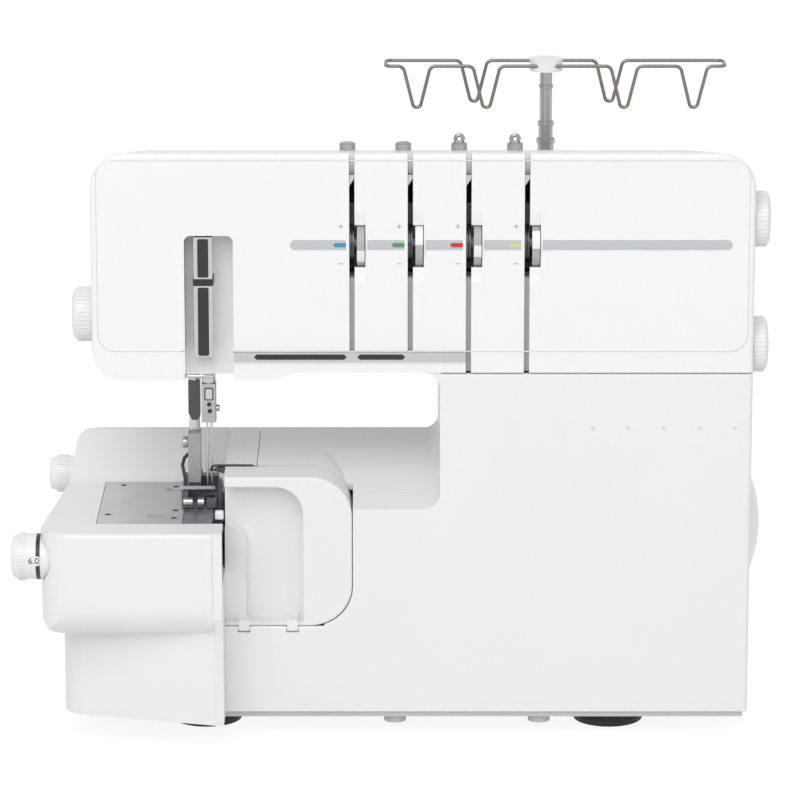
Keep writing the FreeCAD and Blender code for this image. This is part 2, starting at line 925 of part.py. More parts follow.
def face_tools(label):
    """Everything cut through the face: slots, wheel windows, thumb scoops and the recess."""
    tools = [recess(label + "_recess", NOTHING, (FRONT - OVER, RECESS_BACK))]
    bottoms = (s.panel_bottom, s.panel_bottom, ARM_BOTTOM - OVER, ARM_BOTTOM - OVER)
    for index, (x, bottom) in enumerate(zip(SLOTS, bottoms)):
        reach = (FRONT - OVER, FRONT + s.slot_reach)
        tools.append(
            box(f"{label}_slot_{index}", spread(x, s.slot_width / 2), reach, (bottom, s.arm_top + OVER)),
        )
        window_right = x + s.tension_wheel_offset + s.tension_wheel_width + s.tension_window_side
        window_z = spread(s.tension_height, s.tension_window / 2)
        tools.append(box(f"{label}_window_{index}", (x, window_right), reach, window_z))
        scoop_y = FRONT - s.scoop_radius + s.scoop_depth
        tools.append(
            rod(
                f"{label}_scoop_{index}",
                "X",
                (x, window_right),
                (scoop_y, s.tension_height),
                s.scoop_radius,
            ),
        )
    return tools


def upper_covers():
    """Front and rear halves of the arm housing and the panels let into its face."""
    outside = arm_solid("arm_outside", NOTHING)
    inside = arm_solid("arm_inside", s.cover_wall)
    column_way = box(
        "arm_column_way",
        (COLUMN + s.cover_wall, RIGHT - s.cover_wall),
        (FRONT + s.cover_wall, ARM_REAR - s.cover_wall),
        (ARM_BOTTOM - OVER, ARM_BOTTOM + OVER),
    )
    needle_way = box(
        "arm_needle_way",
        spread(NEEDLE_X - s.presser_offset / 2, s.recess_width / 2),
        (RECESS_BACK + s.cover_wall, FRONT + s.arm_split - s.cover_wall),
        (ARM_BOTTOM - s.head_drop - OVER, ARM_BOTTOM + OVER),
    )
    shell = cut("arm_shell", outside, inside, column_way, needle_way)
    lining = common(
        "recess_lining",
        outside,
        recess("recess_block", s.cover_wall, (FRONT, RECESS_BACK + s.cover_wall)),
    )
    split = FRONT + s.arm_split
    whole_x = (HEAD - OVER, RIGHT + OVER)
    whole_z = (ARM_BOTTOM - s.head_drop - OVER, s.arm_top + OVER)
    front_half = common(
        "arm_front_half",
        join("arm_lined", shell, lining),
        box("arm_front_region", whole_x, (FRONT - OVER, split), whole_z),
    )
    bed_for_panels = panel_outline("panel_bed", NOTHING, (FRONT - OVER, FRONT + s.panel_thickness))
    stem_hole = s.dial_shaft_radius + s.seam_gap
    pressure_place = (FRONT + s.pressure_dial_setback, s.pressure_dial_height)
    holes = [rod("pressure_hole", "X", (HEAD - OVER, HEAD + OVER), pressure_place, stem_hole)]
    for index, height in enumerate((s.stitch_dial_height, s.mode_dial_height)):
        place_yz = (FRONT + s.side_dial_setback, height)
        holes.append(rod(f"side_hole_{index}", "X", (RIGHT - OVER, RIGHT + OVER), place_yz, stem_hole))
    node(
        cut("upper_front_cover", front_half, bed_for_panels, *holes, *face_tools("cover")),
        "upper_front_cover",
    )
    rear_region = box("arm_rear_region", whole_x, (split + s.seam_gap, ARM_REAR + OVER), whole_z)
    lever_slot = box(
        "lifter_slot",
        spread(LIFTER_X, s.lifter_thickness / 2 + s.seam_gap),
        (ARM_REAR - OVER, ARM_REAR + OVER),
        (s.lifter_height - s.lifter_thickness, s.lifter_height + s.lifter_length),
    )
    node(
        cut("upper_rear_cover", common("arm_rear_half", shell, rear_region), lever_slot),
        "upper_rear_cover",
    )
    panels = panel_outline("panel_sheet", s.panel_seam, (FRONT, FRONT + s.panel_thickness))
    node(cut("face_panels", panels, *face_tools("panel")), "face_panels")
    return outside


def table_solid(label, inset, right, floor):
    """Extension table: a bellied upper block over a set-back lower block."""
    front = TABLE_FRONT + inset
    left = TABLE_LEFT + inset
    rear = BED_REAR - inset
    step = s.table_step_height + inset
    top = s.bed_height - inset
    ramp_y = FRONT + s.ramp_start
    plan = prism(
        label + "_plan",
        "XY",
        [(right, front), (left, front), (left + s.table_taper, rear), (right, rear)],
        (step, top),
        {1: s.table_corner - inset, 2: s.table_corner - inset},
    )
    side = prism(
        label + "_side",
        "YZ",
        [
            (front, step),
            (front, s.plate_height - inset),
            (ramp_y, s.plate_height - inset),
            (ramp_y + s.ramp_length, top),
            (rear, top),
            (rear, step),
        ],
        (left - OVER, right + OVER),
        {0: s.table_belly - inset, 1: s.edge_softness, 2: s.table_belly, 3: s.edge_softness},
    )
    face = prism(
        label + "_face",
        "XZ",
        [(left, step), (right, step), (right, top), (left, top)],
        (front - OVER, rear + OVER),
        {0: s.table_belly - inset},
    )
    upper = common(label + "_upper", plan, side, face)
    low_left = TABLE_LEFT + s.table_low_inset + inset
    low_front = TABLE_FRONT + s.table_low_setback + inset
    low_plan = prism(
        label + "_low_plan",
        "XY",
        [
            (right, low_front),
            (low_left, low_front + s.table_low_sweep),
            (low_left + s.table_taper, rear),
            (right, rear),
        ],
        (floor, s.table_step_height + s.table_belly),
        {1: s.table_corner - inset, 2: s.table_corner - inset},
    )
    return join(label, upper, low_plan)


def dial_holes(label, gap, reach):
    """Round ways for the two dials on the table's left side."""
    cutting = (FRONT - s.cutting_dial_setback, s.cutting_dial_height)
    feed = (FRONT + s.feed_dial_setback, s.feed_dial_height)
    span = (TABLE_LEFT - OVER, TABLE_LEFT + reach)
    return [
        rod(label + "_cutting", "X", span, cutting, s.cutting_dial_radius + gap),
        rod(label + "_feed", "X", span, feed, s.feed_dial_radius + gap),
    ]


def extension_table():
    outside = table_solid("table_outside", NOTHING, TABLE_RIGHT, s.skirt_height + s.seam_gap * 2)
    inside = table_solid("table_inside", s.cover_wall, TABLE_RIGHT + OVER, s.skirt_height - OVER)
    plate_way = box(
        "table_plate_way",
        (PLATE_LEFT - s.seam_gap, TABLE_RIGHT + OVER),
        (PLATE_FRONT - s.seam_gap, PLATE_REAR + s.seam_gap),
        (PLATE_BOTTOM - OVER, s.bed_height + OVER),
    )
    strip = box(
        "table_strip",
        (TABLE_RIGHT - s.table_strip_width, TABLE_RIGHT + OVER),
        (TABLE_FRONT - OVER, TABLE_FRONT + s.table_strip_step),
        (s.skirt_height, s.plate_height),
    )
    frame_way = box(
        "table_frame_way",
        (TABLE_RIGHT - s.cover_wall, TABLE_RIGHT + OVER),
        (TABLE_FRONT + s.cover_wall, BED_REAR - s.cover_wall),
        (s.skirt_height - OVER, PLATE_BOTTOM),
    )
    holes = dial_holes("table_way", s.dial_hole_gap, s.table_taper + s.table_corner)
    node(cut("extension_table", outside, inside, plate_way, strip, frame_way, *holes), "extension_table")


def needle_plates():
    """Fixed needle plate, the stitch plate beside it and their screws."""
    thick = (PLATE_BOTTOM, s.plate_height)
    plate = box(
        "needle_plate_sheet",
        (PLATE_LEFT, STITCH_LEFT - s.seam_gap / 2),
        (PLATE_FRONT, PLATE_REAR),
        thick,
    )
    stitch_rear = PLATE_FRONT + s.stitch_plate_depth
    stitch = box("stitch_plate_sheet", (STITCH_LEFT, STITCH_RIGHT), (PLATE_FRONT, stitch_rear), thick)
    through = (PLATE_BOTTOM - OVER, s.plate_height + OVER)
    feed_slot = box(
        "feed_slot",
        spread(PRESSER_X, s.feed_width / 2 + s.seam_gap),
        spread(NEEDLE_Y, s.feed_length / 2 + s.feed_clearance),
        through,
    )
    needle_slot = box(
        "needle_slot",
        spread(NEEDLE_X, s.needle_pitch / 2 + s.needle_radius + s.needle_hole_gap),
        spread(NEEDLE_Y, s.needle_radius * 3),
        through,
    )
    seats = []
    screws = []
    for index, (x, y) in enumerate(plate_screw_places()):
        seat_low = s.plate_height - s.plate_thickness / 2
        seats.append(
            rod(
                f"plate_seat_{index}",
                "Z",
                (seat_low, s.plate_height + OVER),
                (x, y),
                s.plate_screw_radius,
            ),
        )
        head = rod(
            f"plate_screw_{index}",
            "Z",
            (seat_low, s.plate_height - s.plate_screw_recess),
            (x, y),
            s.plate_screw_radius,
        )
        slot_half = s.plate_screw_radius / 8
        slot_z = (s.plate_height - s.plate_thickness / 3, s.plate_height + OVER)
        drive = box(
            f"plate_drive_{index}",
            spread(x, s.plate_screw_radius + OVER),
            spread(y, slot_half),
            slot_z,
        )
        screws.append(cut(f"plate_screw_head_{index}", head, drive))
    node(cut("needle_plate", plate, *seats), "needle_plate")
    node(cut("stitch_plate", stitch, feed_slot, needle_slot), "stitch_plate")
    node(group("needle_plate_screws", *screws), "needle_plate_screws")


def plate_screw_places():
    """Middles of the two large screws in the needle plate."""
    return [
        (STITCH_LEFT - s.plate_screw_inset, PLATE_FRONT + s.plate_screw_rear),
        (STITCH_LEFT - s.plate_screw_inset * 2, PLATE_FRONT + s.plate_screw_front),
    ]


POST_LEFT = (COLUMN + s.frame_web, COLUMN + s.frame_web * 2)
POST_RIGHT = (RIGHT - s.frame_web * 5, RIGHT - s.frame_web * 4)
POST_FRONT = FRONT + s.frame_web
HEAD_PLATE_LEFT = PRESSER_X - s.frame_web
HEAD_PLATE_RIGHT = PRESSER_X - s.presser_bar_radius - s.seam_gap
GUIDE_FRONT = RECESS_BACK + s.cover_wall + s.seam_gap * 2
GUIDE_REAR = PRESSER_Y + s.presser_bar_radius * 2
RAIL_RIGHT = BED_SEAM + s.frame_web * 2
RAIL_FRONT = PLATE_REAR - s.frame_web
LOOPER_PIVOT_X = NEEDLE_X + s.lower_looper_pivot_offset
KNIFE_PIVOT_Y = RAIL_FRONT + s.frame_web / 2
GUIDE_LOW = (ARM_BOTTOM + s.cover_wall + s.seam_gap, ARM_BOTTOM + s.cover_wall + s.low_guide_height)
GUIDE_HIGH = (s.rocker_height + s.guide_clearance, s.rocker_height + s.guide_clearance + s.guide_height)
ROCKER_LUG = (NEEDLE_X + s.clamp_width, NEEDLE_X + s.clamp_width + s.frame_web)
LIFTER_Y = ARM_REAR - s.frame_web
MOTOR_Y = FRONT + s.motor_setback
LOOPER_TIP = NEEDLE_X + s.upper_looper_tip
LOOPER_HEEL = LOOPER_TIP + s.upper_looper_reach
LOOPER_Y = DOOR_BACK + s.door_slit / 2
LOOPER_ROD_Y = LOOPER_Y + s.looper_thickness / 4
LOOPER_ROD_TOP = (LOOPER_HEEL - s.upper_looper_bar / 2, s.upper_looper_foot + s.looper_rod_radius)
LOOPER_RUN = length(math.tan(math.radians(s.looper_rod_slant.value)))
LOOPER_GUIDE_X = (RAIL_RIGHT - s.looper_guide_width, RAIL_RIGHT)
LOOPER_GUIDE_REACH = RAIL_RIGHT - s.looper_guide_width / 2 - LOOPER_ROD_TOP[0]
LOOPER_GUIDE_MIDDLE = LOOPER_ROD_TOP[1] - LOOPER_RUN * LOOPER_GUIDE_REACH
LOOPER_GUIDE_Z = spread(LOOPER_GUIDE_MIDDLE, s.looper_guide_height / 2)
FEED_BAR_Z = (PLATE_BOTTOM - s.feed_bar_drop, PLATE_BOTTOM - s.feed_bar_drop + s.feed_bar_height)


def frame_blocks():
    """Blocks of the casting: floor, posts, arm spine, head guides and plate rails."""
    floor = (s.frame_floor, s.frame_floor + s.frame_plate)
    web = s.frame_web
    floor_left = BED_SEAM + web / 2
    post_y = (POST_FRONT, SPINE_REAR)
    spine_z = (s.frame_spine_bottom, s.frame_spine_bottom + s.frame_spine_height)
    tray_top = s.skirt_height
    legs = []
    for index, (x, y) in enumerate(frame_leg_places()):
        legs.append(rod(f"frame_leg_{index}", "Z", (tray_top, s.frame_floor), (x, y), web / 2))
    guide_x = (HEAD_PLATE_LEFT, NEEDLE_X + s.clamp_width)
    rail_z = (PLATE_BOTTOM - web, PLATE_BOTTOM)
    dial_lug_y = spread(FRONT + s.feed_dial_setback, web / 2)
    return legs + [
        box("frame_floor_left", (floor_left, POST_LEFT[1]), (FRONT + web * 3, BED_REAR - web), floor),
        box("frame_floor_right", (POST_LEFT[0], POST_RIGHT[1]), (POST_FRONT, COLUMN_REAR - web), floor),
        box("frame_post_left", POST_LEFT, post_y, (s.frame_floor, ARM_BOTTOM)),
        box(
            "frame_post_left_top",
            POST_LEFT,
            (SPINE_FRONT - web, SPINE_REAR),
            (s.frame_floor, spine_z[1]),
        ),
        box("frame_post_right", POST_RIGHT, post_y, (s.frame_floor, spine_z[1] + web * 2)),
        box("frame_spine", (HEAD_PLATE_LEFT, POST_RIGHT[1]), (SPINE_FRONT, SPINE_REAR), spine_z),
        box(
            "frame_head_plate",
            (HEAD_PLATE_LEFT, HEAD_PLATE_RIGHT),
            (GUIDE_FRONT, SPINE_REAR),
            (GUIDE_LOW[0], GUIDE_HIGH[1]),
        ),
        box("frame_guide_low", guide_x, (GUIDE_FRONT, GUIDE_REAR), GUIDE_LOW),
        box("frame_guide_high", guide_x, (GUIDE_FRONT, GUIDE_REAR), GUIDE_HIGH),
        box(
            "frame_lifter_lug",
            (HEAD_PLATE_LEFT, HEAD_PLATE_RIGHT),
            (SPINE_REAR, LIFTER_Y + web / 2),
            spread(s.lifter_height, web),
        ),
        box(
            "frame_rocker_lug_left",
            ROCKER_LUG,
            (ROCKER_Y - web, SPINE_FRONT),
            spread(s.rocker_height, web),
        ),
        box(
            "frame_rocker_lug_right",
            (NOTHING, web),
            (ROCKER_Y - web, SPINE_FRONT),
            spread(s.rocker_height, web),
        ),
        box("frame_rail_left", (PLATE_LEFT, PLATE_LEFT + web), (PLATE_FRONT, PLATE_REAR), rail_z),
        box(
            "frame_rail_front",
            (PLATE_LEFT, STITCH_LEFT),
            (FRONT - s.cutting_dial_setback - web / 2, FRONT - web / 2),
            (s.cutting_dial_height - web, PLATE_BOTTOM - s.seam_gap * 3),
        ),
        box("frame_rail_rear", (PLATE_LEFT, RAIL_RIGHT), (RAIL_FRONT, PLATE_REAR), rail_z),
        box(
            "frame_rail_post",
            (RAIL_RIGHT - web, RAIL_RIGHT),
            (RAIL_FRONT, PLATE_REAR),
            (s.frame_floor, PLATE_BOTTOM),
        ),
        box(
            "frame_dial_arm",
            (PLATE_LEFT, PLATE_LEFT + web),
            (RAIL_FRONT, dial_lug_y[1]),
            (PLATE_BOTTOM - web, PLATE_BOTTOM - web / 3),
        ),
        box(
            "frame_dial_lug",
            (PLATE_LEFT, PLATE_LEFT + web),
            dial_lug_y,
            (PLATE_BOTTOM - web, s.feed_dial_height + s.dial_shaft_radius * 2),
        ),
        box(
            "frame_looper_lug",
            (LOOPER_PIVOT_X - web, RAIL_RIGHT),
            (RAIL_FRONT - web, RAIL_FRONT),
            spread(s.lower_looper_pivot_height, web),
        ),
        box(
            "frame_looper_link",
            (RAIL_RIGHT - web, RAIL_RIGHT),
            (RAIL_FRONT - web, PLATE_REAR),
            spread(s.lower_looper_pivot_height, web),
        ),
        box(
            "frame_motor_seat",
            (POST_LEFT[0], POST_RIGHT[0]),
            spread(MOTOR_Y, s.motor_radius / 2),
            (s.frame_floor, s.motor_seat_height),
        ),
        box(
            "frame_looper_guide",
            LOOPER_GUIDE_X,
            (LOOPER_ROD_Y - s.looper_rod_radius * 2, RAIL_FRONT),
            LOOPER_GUIDE_Z,
        ),
    ]


def frame_leg_places():
    web = s.frame_web
    front = FRONT + web * 4
    return [
        (BED_SEAM + web * 2, front),
        (BED_SEAM + web * 2, BED_REAR - web * 2),
        (POST_RIGHT[0], front),
        (POST_RIGHT[0], COLUMN_REAR - web * 2),
    ]


def looper_rod(label, reach, radius):
    """A slanted round bar from the upper looper's heel down to the right."""
    item = DOC.addObject("Part::Cylinder", label)
    bind(item, "Radius", radius)
    bind(item, "Height", reach)
    turn = 90 + s.looper_rod_slant.value
    item.Placement = FreeCAD.Placement(FreeCAD.Vector(), FreeCAD.Rotation(FreeCAD.Vector(0, 1, 0), turn))
    item.setExpression("Placement.Rotation.Angle", "(90 + sizes.looper_rod_slant) * 1 deg")
    place(item, LOOPER_ROD_TOP[0], LOOPER_ROD_Y, LOOPER_ROD_TOP[1])
    return item


def machine_frame():
    """Cast frame with the bores that carry every shaft and bar."""
    gap = s.running_gap
    plate_span = (HEAD_PLATE_LEFT - OVER, HEAD_PLATE_RIGHT + OVER)
    upright = (GUIDE_LOW[0] - OVER, GUIDE_HIGH[1] + OVER)
    pressure_place = (FRONT + s.pressure_dial_setback, s.pressure_dial_height)
    side_y = FRONT + s.side_dial_setback
    dial_span = (PLATE_LEFT - OVER, PLATE_LEFT + s.frame_web * 2)
    knife_place = (KNIFE_PIVOT_Y, s.knife_pivot_height)
    looper_place = (LOOPER_PIVOT_X, s.lower_looper_pivot_height)
    rocker_span = (ROCKER_LUG[0] - OVER, s.frame_web + OVER)
    bores = [
        rod("bore_needle_bar", "Z", upright, (NEEDLE_X, NEEDLE_Y), s.needle_bar_radius + gap),
        rod("bore_presser_bar", "Z", upright, (PRESSER_X, PRESSER_Y), s.presser_bar_radius + gap),
        rod("bore_rocker", "X", rocker_span, (ROCKER_Y, s.rocker_height), s.rocker_radius + gap),
        rod(
            "bore_shaft",
            "X",
            (POST_LEFT[0] - OVER, POST_RIGHT[1] + OVER),
            (SHAFT_Y, s.shaft_height),
            s.shaft_radius + gap,
        ),
        rod("bore_lifter", "X", plate_span, (LIFTER_Y, s.lifter_height), s.lifter_pin_radius + gap),
        rod("bore_pressure_dial", "X", plate_span, pressure_place, s.dial_shaft_radius + gap),
        rod(
            "bore_stitch_dial",
            "X",
            (POST_RIGHT[0] - OVER, POST_RIGHT[1] + OVER),
            (side_y, s.stitch_dial_height),
            s.dial_shaft_radius + gap,
        ),
        rod(
            "bore_mode_dial",
            "X",
            (POST_RIGHT[0] - OVER, POST_RIGHT[1] + OVER),
            (side_y, s.mode_dial_height),
            s.dial_shaft_radius + gap,
        ),
        rod(
            "bore_cutting_dial",
            "X",
            dial_span,
            (FRONT - s.cutting_dial_setback, s.cutting_dial_height),
            s.dial_shaft_radius + gap,
        ),
        rod(
            "bore_feed_dial",
            "X",
            dial_span,
            (FRONT + s.feed_dial_setback, s.feed_dial_height),
            s.dial_shaft_radius + gap,
        ),
        rod(
            "bore_knife",
            "X",
            (RAIL_RIGHT - s.frame_web - OVER, RAIL_RIGHT + OVER),
            knife_place,
            s.knife_pivot_radius + gap,
        ),
        rod(
            "bore_looper",
            "Y",
            (RAIL_FRONT - s.frame_web - OVER, PLATE_REAR + OVER),
            looper_place,
            s.lower_looper_pivot_radius + gap,
        ),
        rod("bore_motor", "X", (POST_LEFT[1], POST_RIGHT[0]), (MOTOR_Y, s.motor_height), s.motor_radius),
        looper_rod("bore_looper_rod", s.looper_rod_length * 2, s.looper_rod_radius + gap),
        box(
            "feed_bar_way",
            spread(PRESSER_X, s.feed_width / 2 + gap),
            (RAIL_FRONT - OVER, PLATE_REAR + OVER),
            (FEED_BAR_Z[0] - gap, FEED_BAR_Z[1] + gap),
        ),
    ]
    node(cut("machine_frame", join("frame_casting", *frame_blocks()), *bores), "machine_frame")


def drive_train():
    """Handwheel with its pulley, main shaft, motor, motor pulley and belt."""
    wheel_place = (SHAFT_Y, s.shaft_height)
    wheel_apex = RIGHT + s.wheel_apex
    dome_centre = wheel_apex - s.wheel_crown
    disc = rod("wheel_disc", "X", (RIGHT - s.wheel_depth, wheel_apex), wheel_place, s.wheel_radius)
    dome = ball("wheel_dome", (dome_centre, *wheel_place), s.wheel_crown)
    pulley_x = (RIGHT - s.wheel_depth - s.pulley_width, RIGHT - s.wheel_depth)
    pulley = rod("wheel_pulley", "X", pulley_x, wheel_place, s.pulley_radius)
    shaft_bore = rod("wheel_bore", "X", (pulley_x[0] - OVER, RIGHT), wheel_place, s.shaft_radius)
    wheel = join("wheel_solid", common("wheel_domed", disc, dome), pulley)
    node(cut("handwheel", wheel, shaft_bore), "handwheel")
    shaft_span = (RIGHT - s.shaft_length, RIGHT)
    node(rod("main_shaft", "X", shaft_span, wheel_place, s.shaft_radius), "main_shaft")
    motor_place = (MOTOR_Y, s.motor_height)
    motor_x = (POST_LEFT[1] + s.frame_web, POST_RIGHT[0] - s.motor_post_gap)
    can = rod("motor_can", "X", motor_x, motor_place, s.motor_radius)
    spindle = rod(
        "motor_spindle_way",
        "X",
        (motor_x[1] - s.frame_web, motor_x[1] + OVER),
        motor_place,
        s.motor_shaft_radius + s.running_gap,
    )
    node(cut("motor", can, spindle), "motor")
    small = rod("motor_pulley_wheel", "X", pulley_x, motor_place, s.motor_pulley_radius)
    small_shaft = rod(
        "motor_pulley_shaft",
        "X",
        (motor_x[1] - s.frame_web, pulley_x[0]),
        motor_place,
        s.motor_shaft_radius,
    )
    node(join("motor_pulley", small, small_shaft), "motor_pulley")
    drive_belt(pulley_x, wheel_place, motor_place)


def belt_band(label, span, big, small, grow):
    """A band round both pulleys: two discs and the bar between their common tangents."""
    big_radius = s.pulley_radius + grow
    small_radius = s.motor_pulley_radius + grow
    across = (small[0] - big[0]).value
    down = (small[1] - big[1]).value
    distance = math.hypot(across, down)
    heading = math.atan2(down, across)
    lean = math.acos((big_radius - small_radius).value / distance)
    corners = []
    for side in (1, -1):
        angle = heading + side * lean
        for centre, radius in ((big, big_radius), (small, small_radius))[::side]:
            corners.append((centre[0] + radius * math.cos(angle), centre[1] + radius * math.sin(angle)))
    return join(
        label,
        rod(label + "_big", "X", span, big, big_radius),
        rod(label + "_small", "X", span, small, small_radius),
        prism(label + "_flanks", "YZ", corners, span),
    )


def drive_belt(pulley_x, big, small):
    margin = s.seam_gap * 2
    band_x = (pulley_x[0] + margin, pulley_x[1] - margin)
    outer = belt_band("belt_outer", band_x, big, small, s.seam_gap + s.belt_thickness)
    open_x = (pulley_x[0] - OVER, pulley_x[1] + OVER)
    inner = belt_band("belt_inner", open_x, big, small, s.seam_gap)
    node(cut("drive_belt", outer, inner), "drive_belt")


def needle_group():
    """Rocker with its lever, needle bar, clamp and the two needles."""
    lever_tip = NEEDLE_Y + s.collar_radius + s.lever_gap
    root_half = s.rocker_hub_radius
    tip_half = s.lever_tip_height / 2
    lever = prism(
        "rocker_lever",
        "YZ",
        [
            (ROCKER_Y, s.rocker_height - root_half),
            (ROCKER_Y, s.rocker_height + root_half),
            (lever_tip, s.rocker_height + tip_half),
            (lever_tip, s.rocker_height - tip_half),
        ],
        spread(NEEDLE_X, s.lever_width / 2),
    )
    hub = rod(
        "rocker_hub",
        "X",
        spread(NEEDLE_X, s.lever_width / 2),
        (ROCKER_Y, s.rocker_height),
        root_half,
    )
    shaft_left = NEEDLE_X - s.lever_width / 2
    shaft = rod(
        "rocker_shaft",
        "X",
        (shaft_left, shaft_left + s.rocker_length),
        (ROCKER_Y, s.rocker_height),
        s.rocker_radius,
    )
    node(join("needle_rocker", lever, hub, shaft), "needle_rocker")
    clamp_top = s.clamp_bottom + s.clamp_height
    bar = rod(
        "needle_bar_rod",
        "Z",
        (clamp_top, s.needle_bar_top),
        (NEEDLE_X, NEEDLE_Y),
        s.needle_bar_radius,
    )
    collar = rod(
        "needle_bar_collar",
        "Z",
        spread(s.rocker_height, s.collar_height / 2),
        (NEEDLE_X, NEEDLE_Y),
        s.collar_radius,
    )
    node(join("needle_bar", bar, collar), "needle_bar")
    clamp = prism(
        "needle_clamp_block",
        "XY",
        [
            (NEEDLE_X - s.clamp_width / 2, NEEDLE_Y - s.clamp_depth / 2),
            (NEEDLE_X + s.clamp_width / 2, NEEDLE_Y - s.clamp_depth / 2),
            (NEEDLE_X + s.clamp_width / 2, NEEDLE_Y + s.clamp_depth / 2),
            (NEEDLE_X - s.clamp_width / 2, NEEDLE_Y + s.clamp_depth / 2),
        ],
        (s.clamp_bottom, clamp_top),
        {corner: s.clamp_width / 6 for corner in range(4)},
    )
    needles = []
    holes = []
    for index, side in enumerate((-0.5, 0.5)):
        spot = (NEEDLE_X + s.needle_pitch * side, NEEDLE_Y)
        seat = s.clamp_bottom + s.clamp_height / 2
        point = s.needle_tip + s.needle_radius * 8
        blade = rod(f"needle_blade_{index}", "Z", (point, seat), spot, s.needle_radius)
        tip = taper(
            f"needle_tip_{index}",
            "Z",
            (s.needle_tip, point),
            spot,
            s.needle_radius / 8,
            s.needle_radius,
        )
        holes.append(
            rod(f"needle_hole_{index}", "Z", (s.clamp_bottom - OVER, seat), spot, s.needle_radius),
        )
        needles.append(join(f"needle_{index}", blade, tip))
    node(cut("needle_clamp", clamp, *holes), "needle_clamp")
    node(group("needles", *needles), "needles")


def presser_group():
    """Presser bar, ankle, foot and the lever that lifts them."""
    node(
        rod(
            "presser_bar",
            "Z",
            (s.ankle_top, s.presser_bar_top),
            (PRESSER_X, PRESSER_Y),
            s.presser_bar_radius,
        ),
        "presser_bar",
    )
    ankle_x = spread(PRESSER_X, s.ankle_width / 2)
    ankle_y = (PRESSER_Y - s.ankle_depth, PRESSER_Y + s.presser_bar_radius)
    node(box("presser_ankle", ankle_x, ankle_y, (s.ankle_bottom, s.ankle_top)), "presser_ankle")
    sole_bottom = s.plate_height + s.foot_lift
    sole_z = (sole_bottom, sole_bottom + s.foot_sole)
    foot_right = NEEDLE_X + s.needle_pitch / 2 + s.foot_slot_width / 2
    foot_x = (foot_right - s.foot_width, foot_right)
    foot_y = (NEEDLE_Y - s.foot_front, NEEDLE_Y - s.foot_front + s.foot_length)
    sole = box("foot_sole_plate", foot_x, foot_y, sole_z)
    wall_y = (NEEDLE_Y + s.needle_radius * 6, foot_y[1])
    wall = box(
        "foot_wall",
        (foot_x[0], foot_x[0] + s.foot_sole),
        foot_y,
        (sole_bottom, sole_bottom + s.foot_wall_height),
    )
    bridge = box(
        "foot_bridge",
        foot_x,
        (foot_y[1] - s.foot_sole * 2, foot_y[1]),
        (sole_bottom, sole_bottom + s.foot_wall_height),
    )
    stem = box(
        "foot_stem",
        ankle_x,
        (PRESSER_Y - s.ankle_depth / 2, wall_y[1]),
        (sole_bottom, s.ankle_bottom),
    )
    needle_way = box(
        "foot_needle_way",
        spread(NEEDLE_X, s.foot_slot_width / 2),
        spread(NEEDLE_Y, s.needle_radius * 4),
        (sole_bottom - OVER, s.ankle_bottom + OVER),
    )
    toe_way = box(
        "foot_toe_way",
        spread(NEEDLE_X - s.needle_pitch, s.foot_sole / 4),
        (foot_y[0] - OVER, NEEDLE_Y),
        (sole_bottom - OVER, s.ankle_bottom + OVER),
    )
    node(
        cut("presser_foot", join("foot_solid", sole, wall, bridge, stem), needle_way, toe_way),
        "presser_foot",
    )
    lever_x = spread(LIFTER_X, s.lifter_thickness / 2)
    arm = prism(
        "lifter_arm",
        "YZ",
        [
            (LIFTER_Y - s.lifter_thickness, s.lifter_height - s.lifter_thickness / 2),
            (LIFTER_Y + s.lifter_length, s.lifter_height - s.lifter_thickness / 2),
            (LIFTER_Y + s.lifter_length, s.lifter_height + s.lifter_thickness / 2),
            (LIFTER_Y - s.lifter_thickness, s.lifter_height + s.lifter_thickness / 2),
        ],
        lever_x,
        {1: s.lifter_thickness / 3, 2: s.lifter_thickness / 3},
    )
    pin = rod(
        "lifter_pin",
        "X",
        (lever_x[0], HEAD_PLATE_RIGHT),
        (LIFTER_Y, s.lifter_height),
        s.lifter_pin_radius,
    )
    node(join("presser_lifter", arm, pin), "presser_lifter")


LOWER_KNIFE_X = (STITCH_RIGHT + s.knife_clearance, STITCH_RIGHT + s.knife_clearance + s.knife_thickness)
UPPER_KNIFE_X = (
    LOWER_KNIFE_X[1] + s.knife_clearance,
    LOWER_KNIFE_X[1] + s.knife_clearance + s.knife_thickness,
)
KNIFE_Y = (NEEDLE_Y - s.knife_front, NEEDLE_Y - s.knife_front + s.knife_length)


def knives():
    """Fixed lower knife and the rocking upper knife with its arm and shaft."""
    blade = box("lower_knife_blade", LOWER_KNIFE_X, KNIFE_Y, (s.lower_knife_bottom, s.plate_height))
    holder = box(
        "lower_knife_holder",
        (STITCH_LEFT - s.frame_web, LOWER_KNIFE_X[1]),
        (KNIFE_Y[0], KNIFE_Y[0] + s.knife_thickness),
        (s.lower_knife_bottom, s.lower_knife_bottom + s.knife_arm_height),
    )
    stay = box(
        "lower_knife_stay",
        (STITCH_LEFT - s.frame_web, STITCH_LEFT - s.frame_web / 2),
        (FRONT - s.frame_web / 2, KNIFE_Y[0] + s.knife_thickness),
        (s.lower_knife_bottom, s.lower_knife_bottom + s.knife_arm_height),
    )
    node(join("lower_knife", blade, holder, stay), "lower_knife")
    pivot = s.knife_pivot_height
    half = s.knife_arm_height / 2
    arm = box("upper_knife_arm", UPPER_KNIFE_X, (KNIFE_Y[0], KNIFE_PIVOT_Y + half), spread(pivot, half))
    riser = box("upper_knife_riser", UPPER_KNIFE_X, KNIFE_Y, (pivot - half, s.upper_knife_top))
    shaft = rod(
        "upper_knife_shaft",
        "X",
        (UPPER_KNIFE_X[0], RAIL_RIGHT),
        (KNIFE_PIVOT_Y, pivot),
        s.knife_pivot_radius,
    )
    node(join("upper_knife", arm, riser, shaft), "upper_knife")


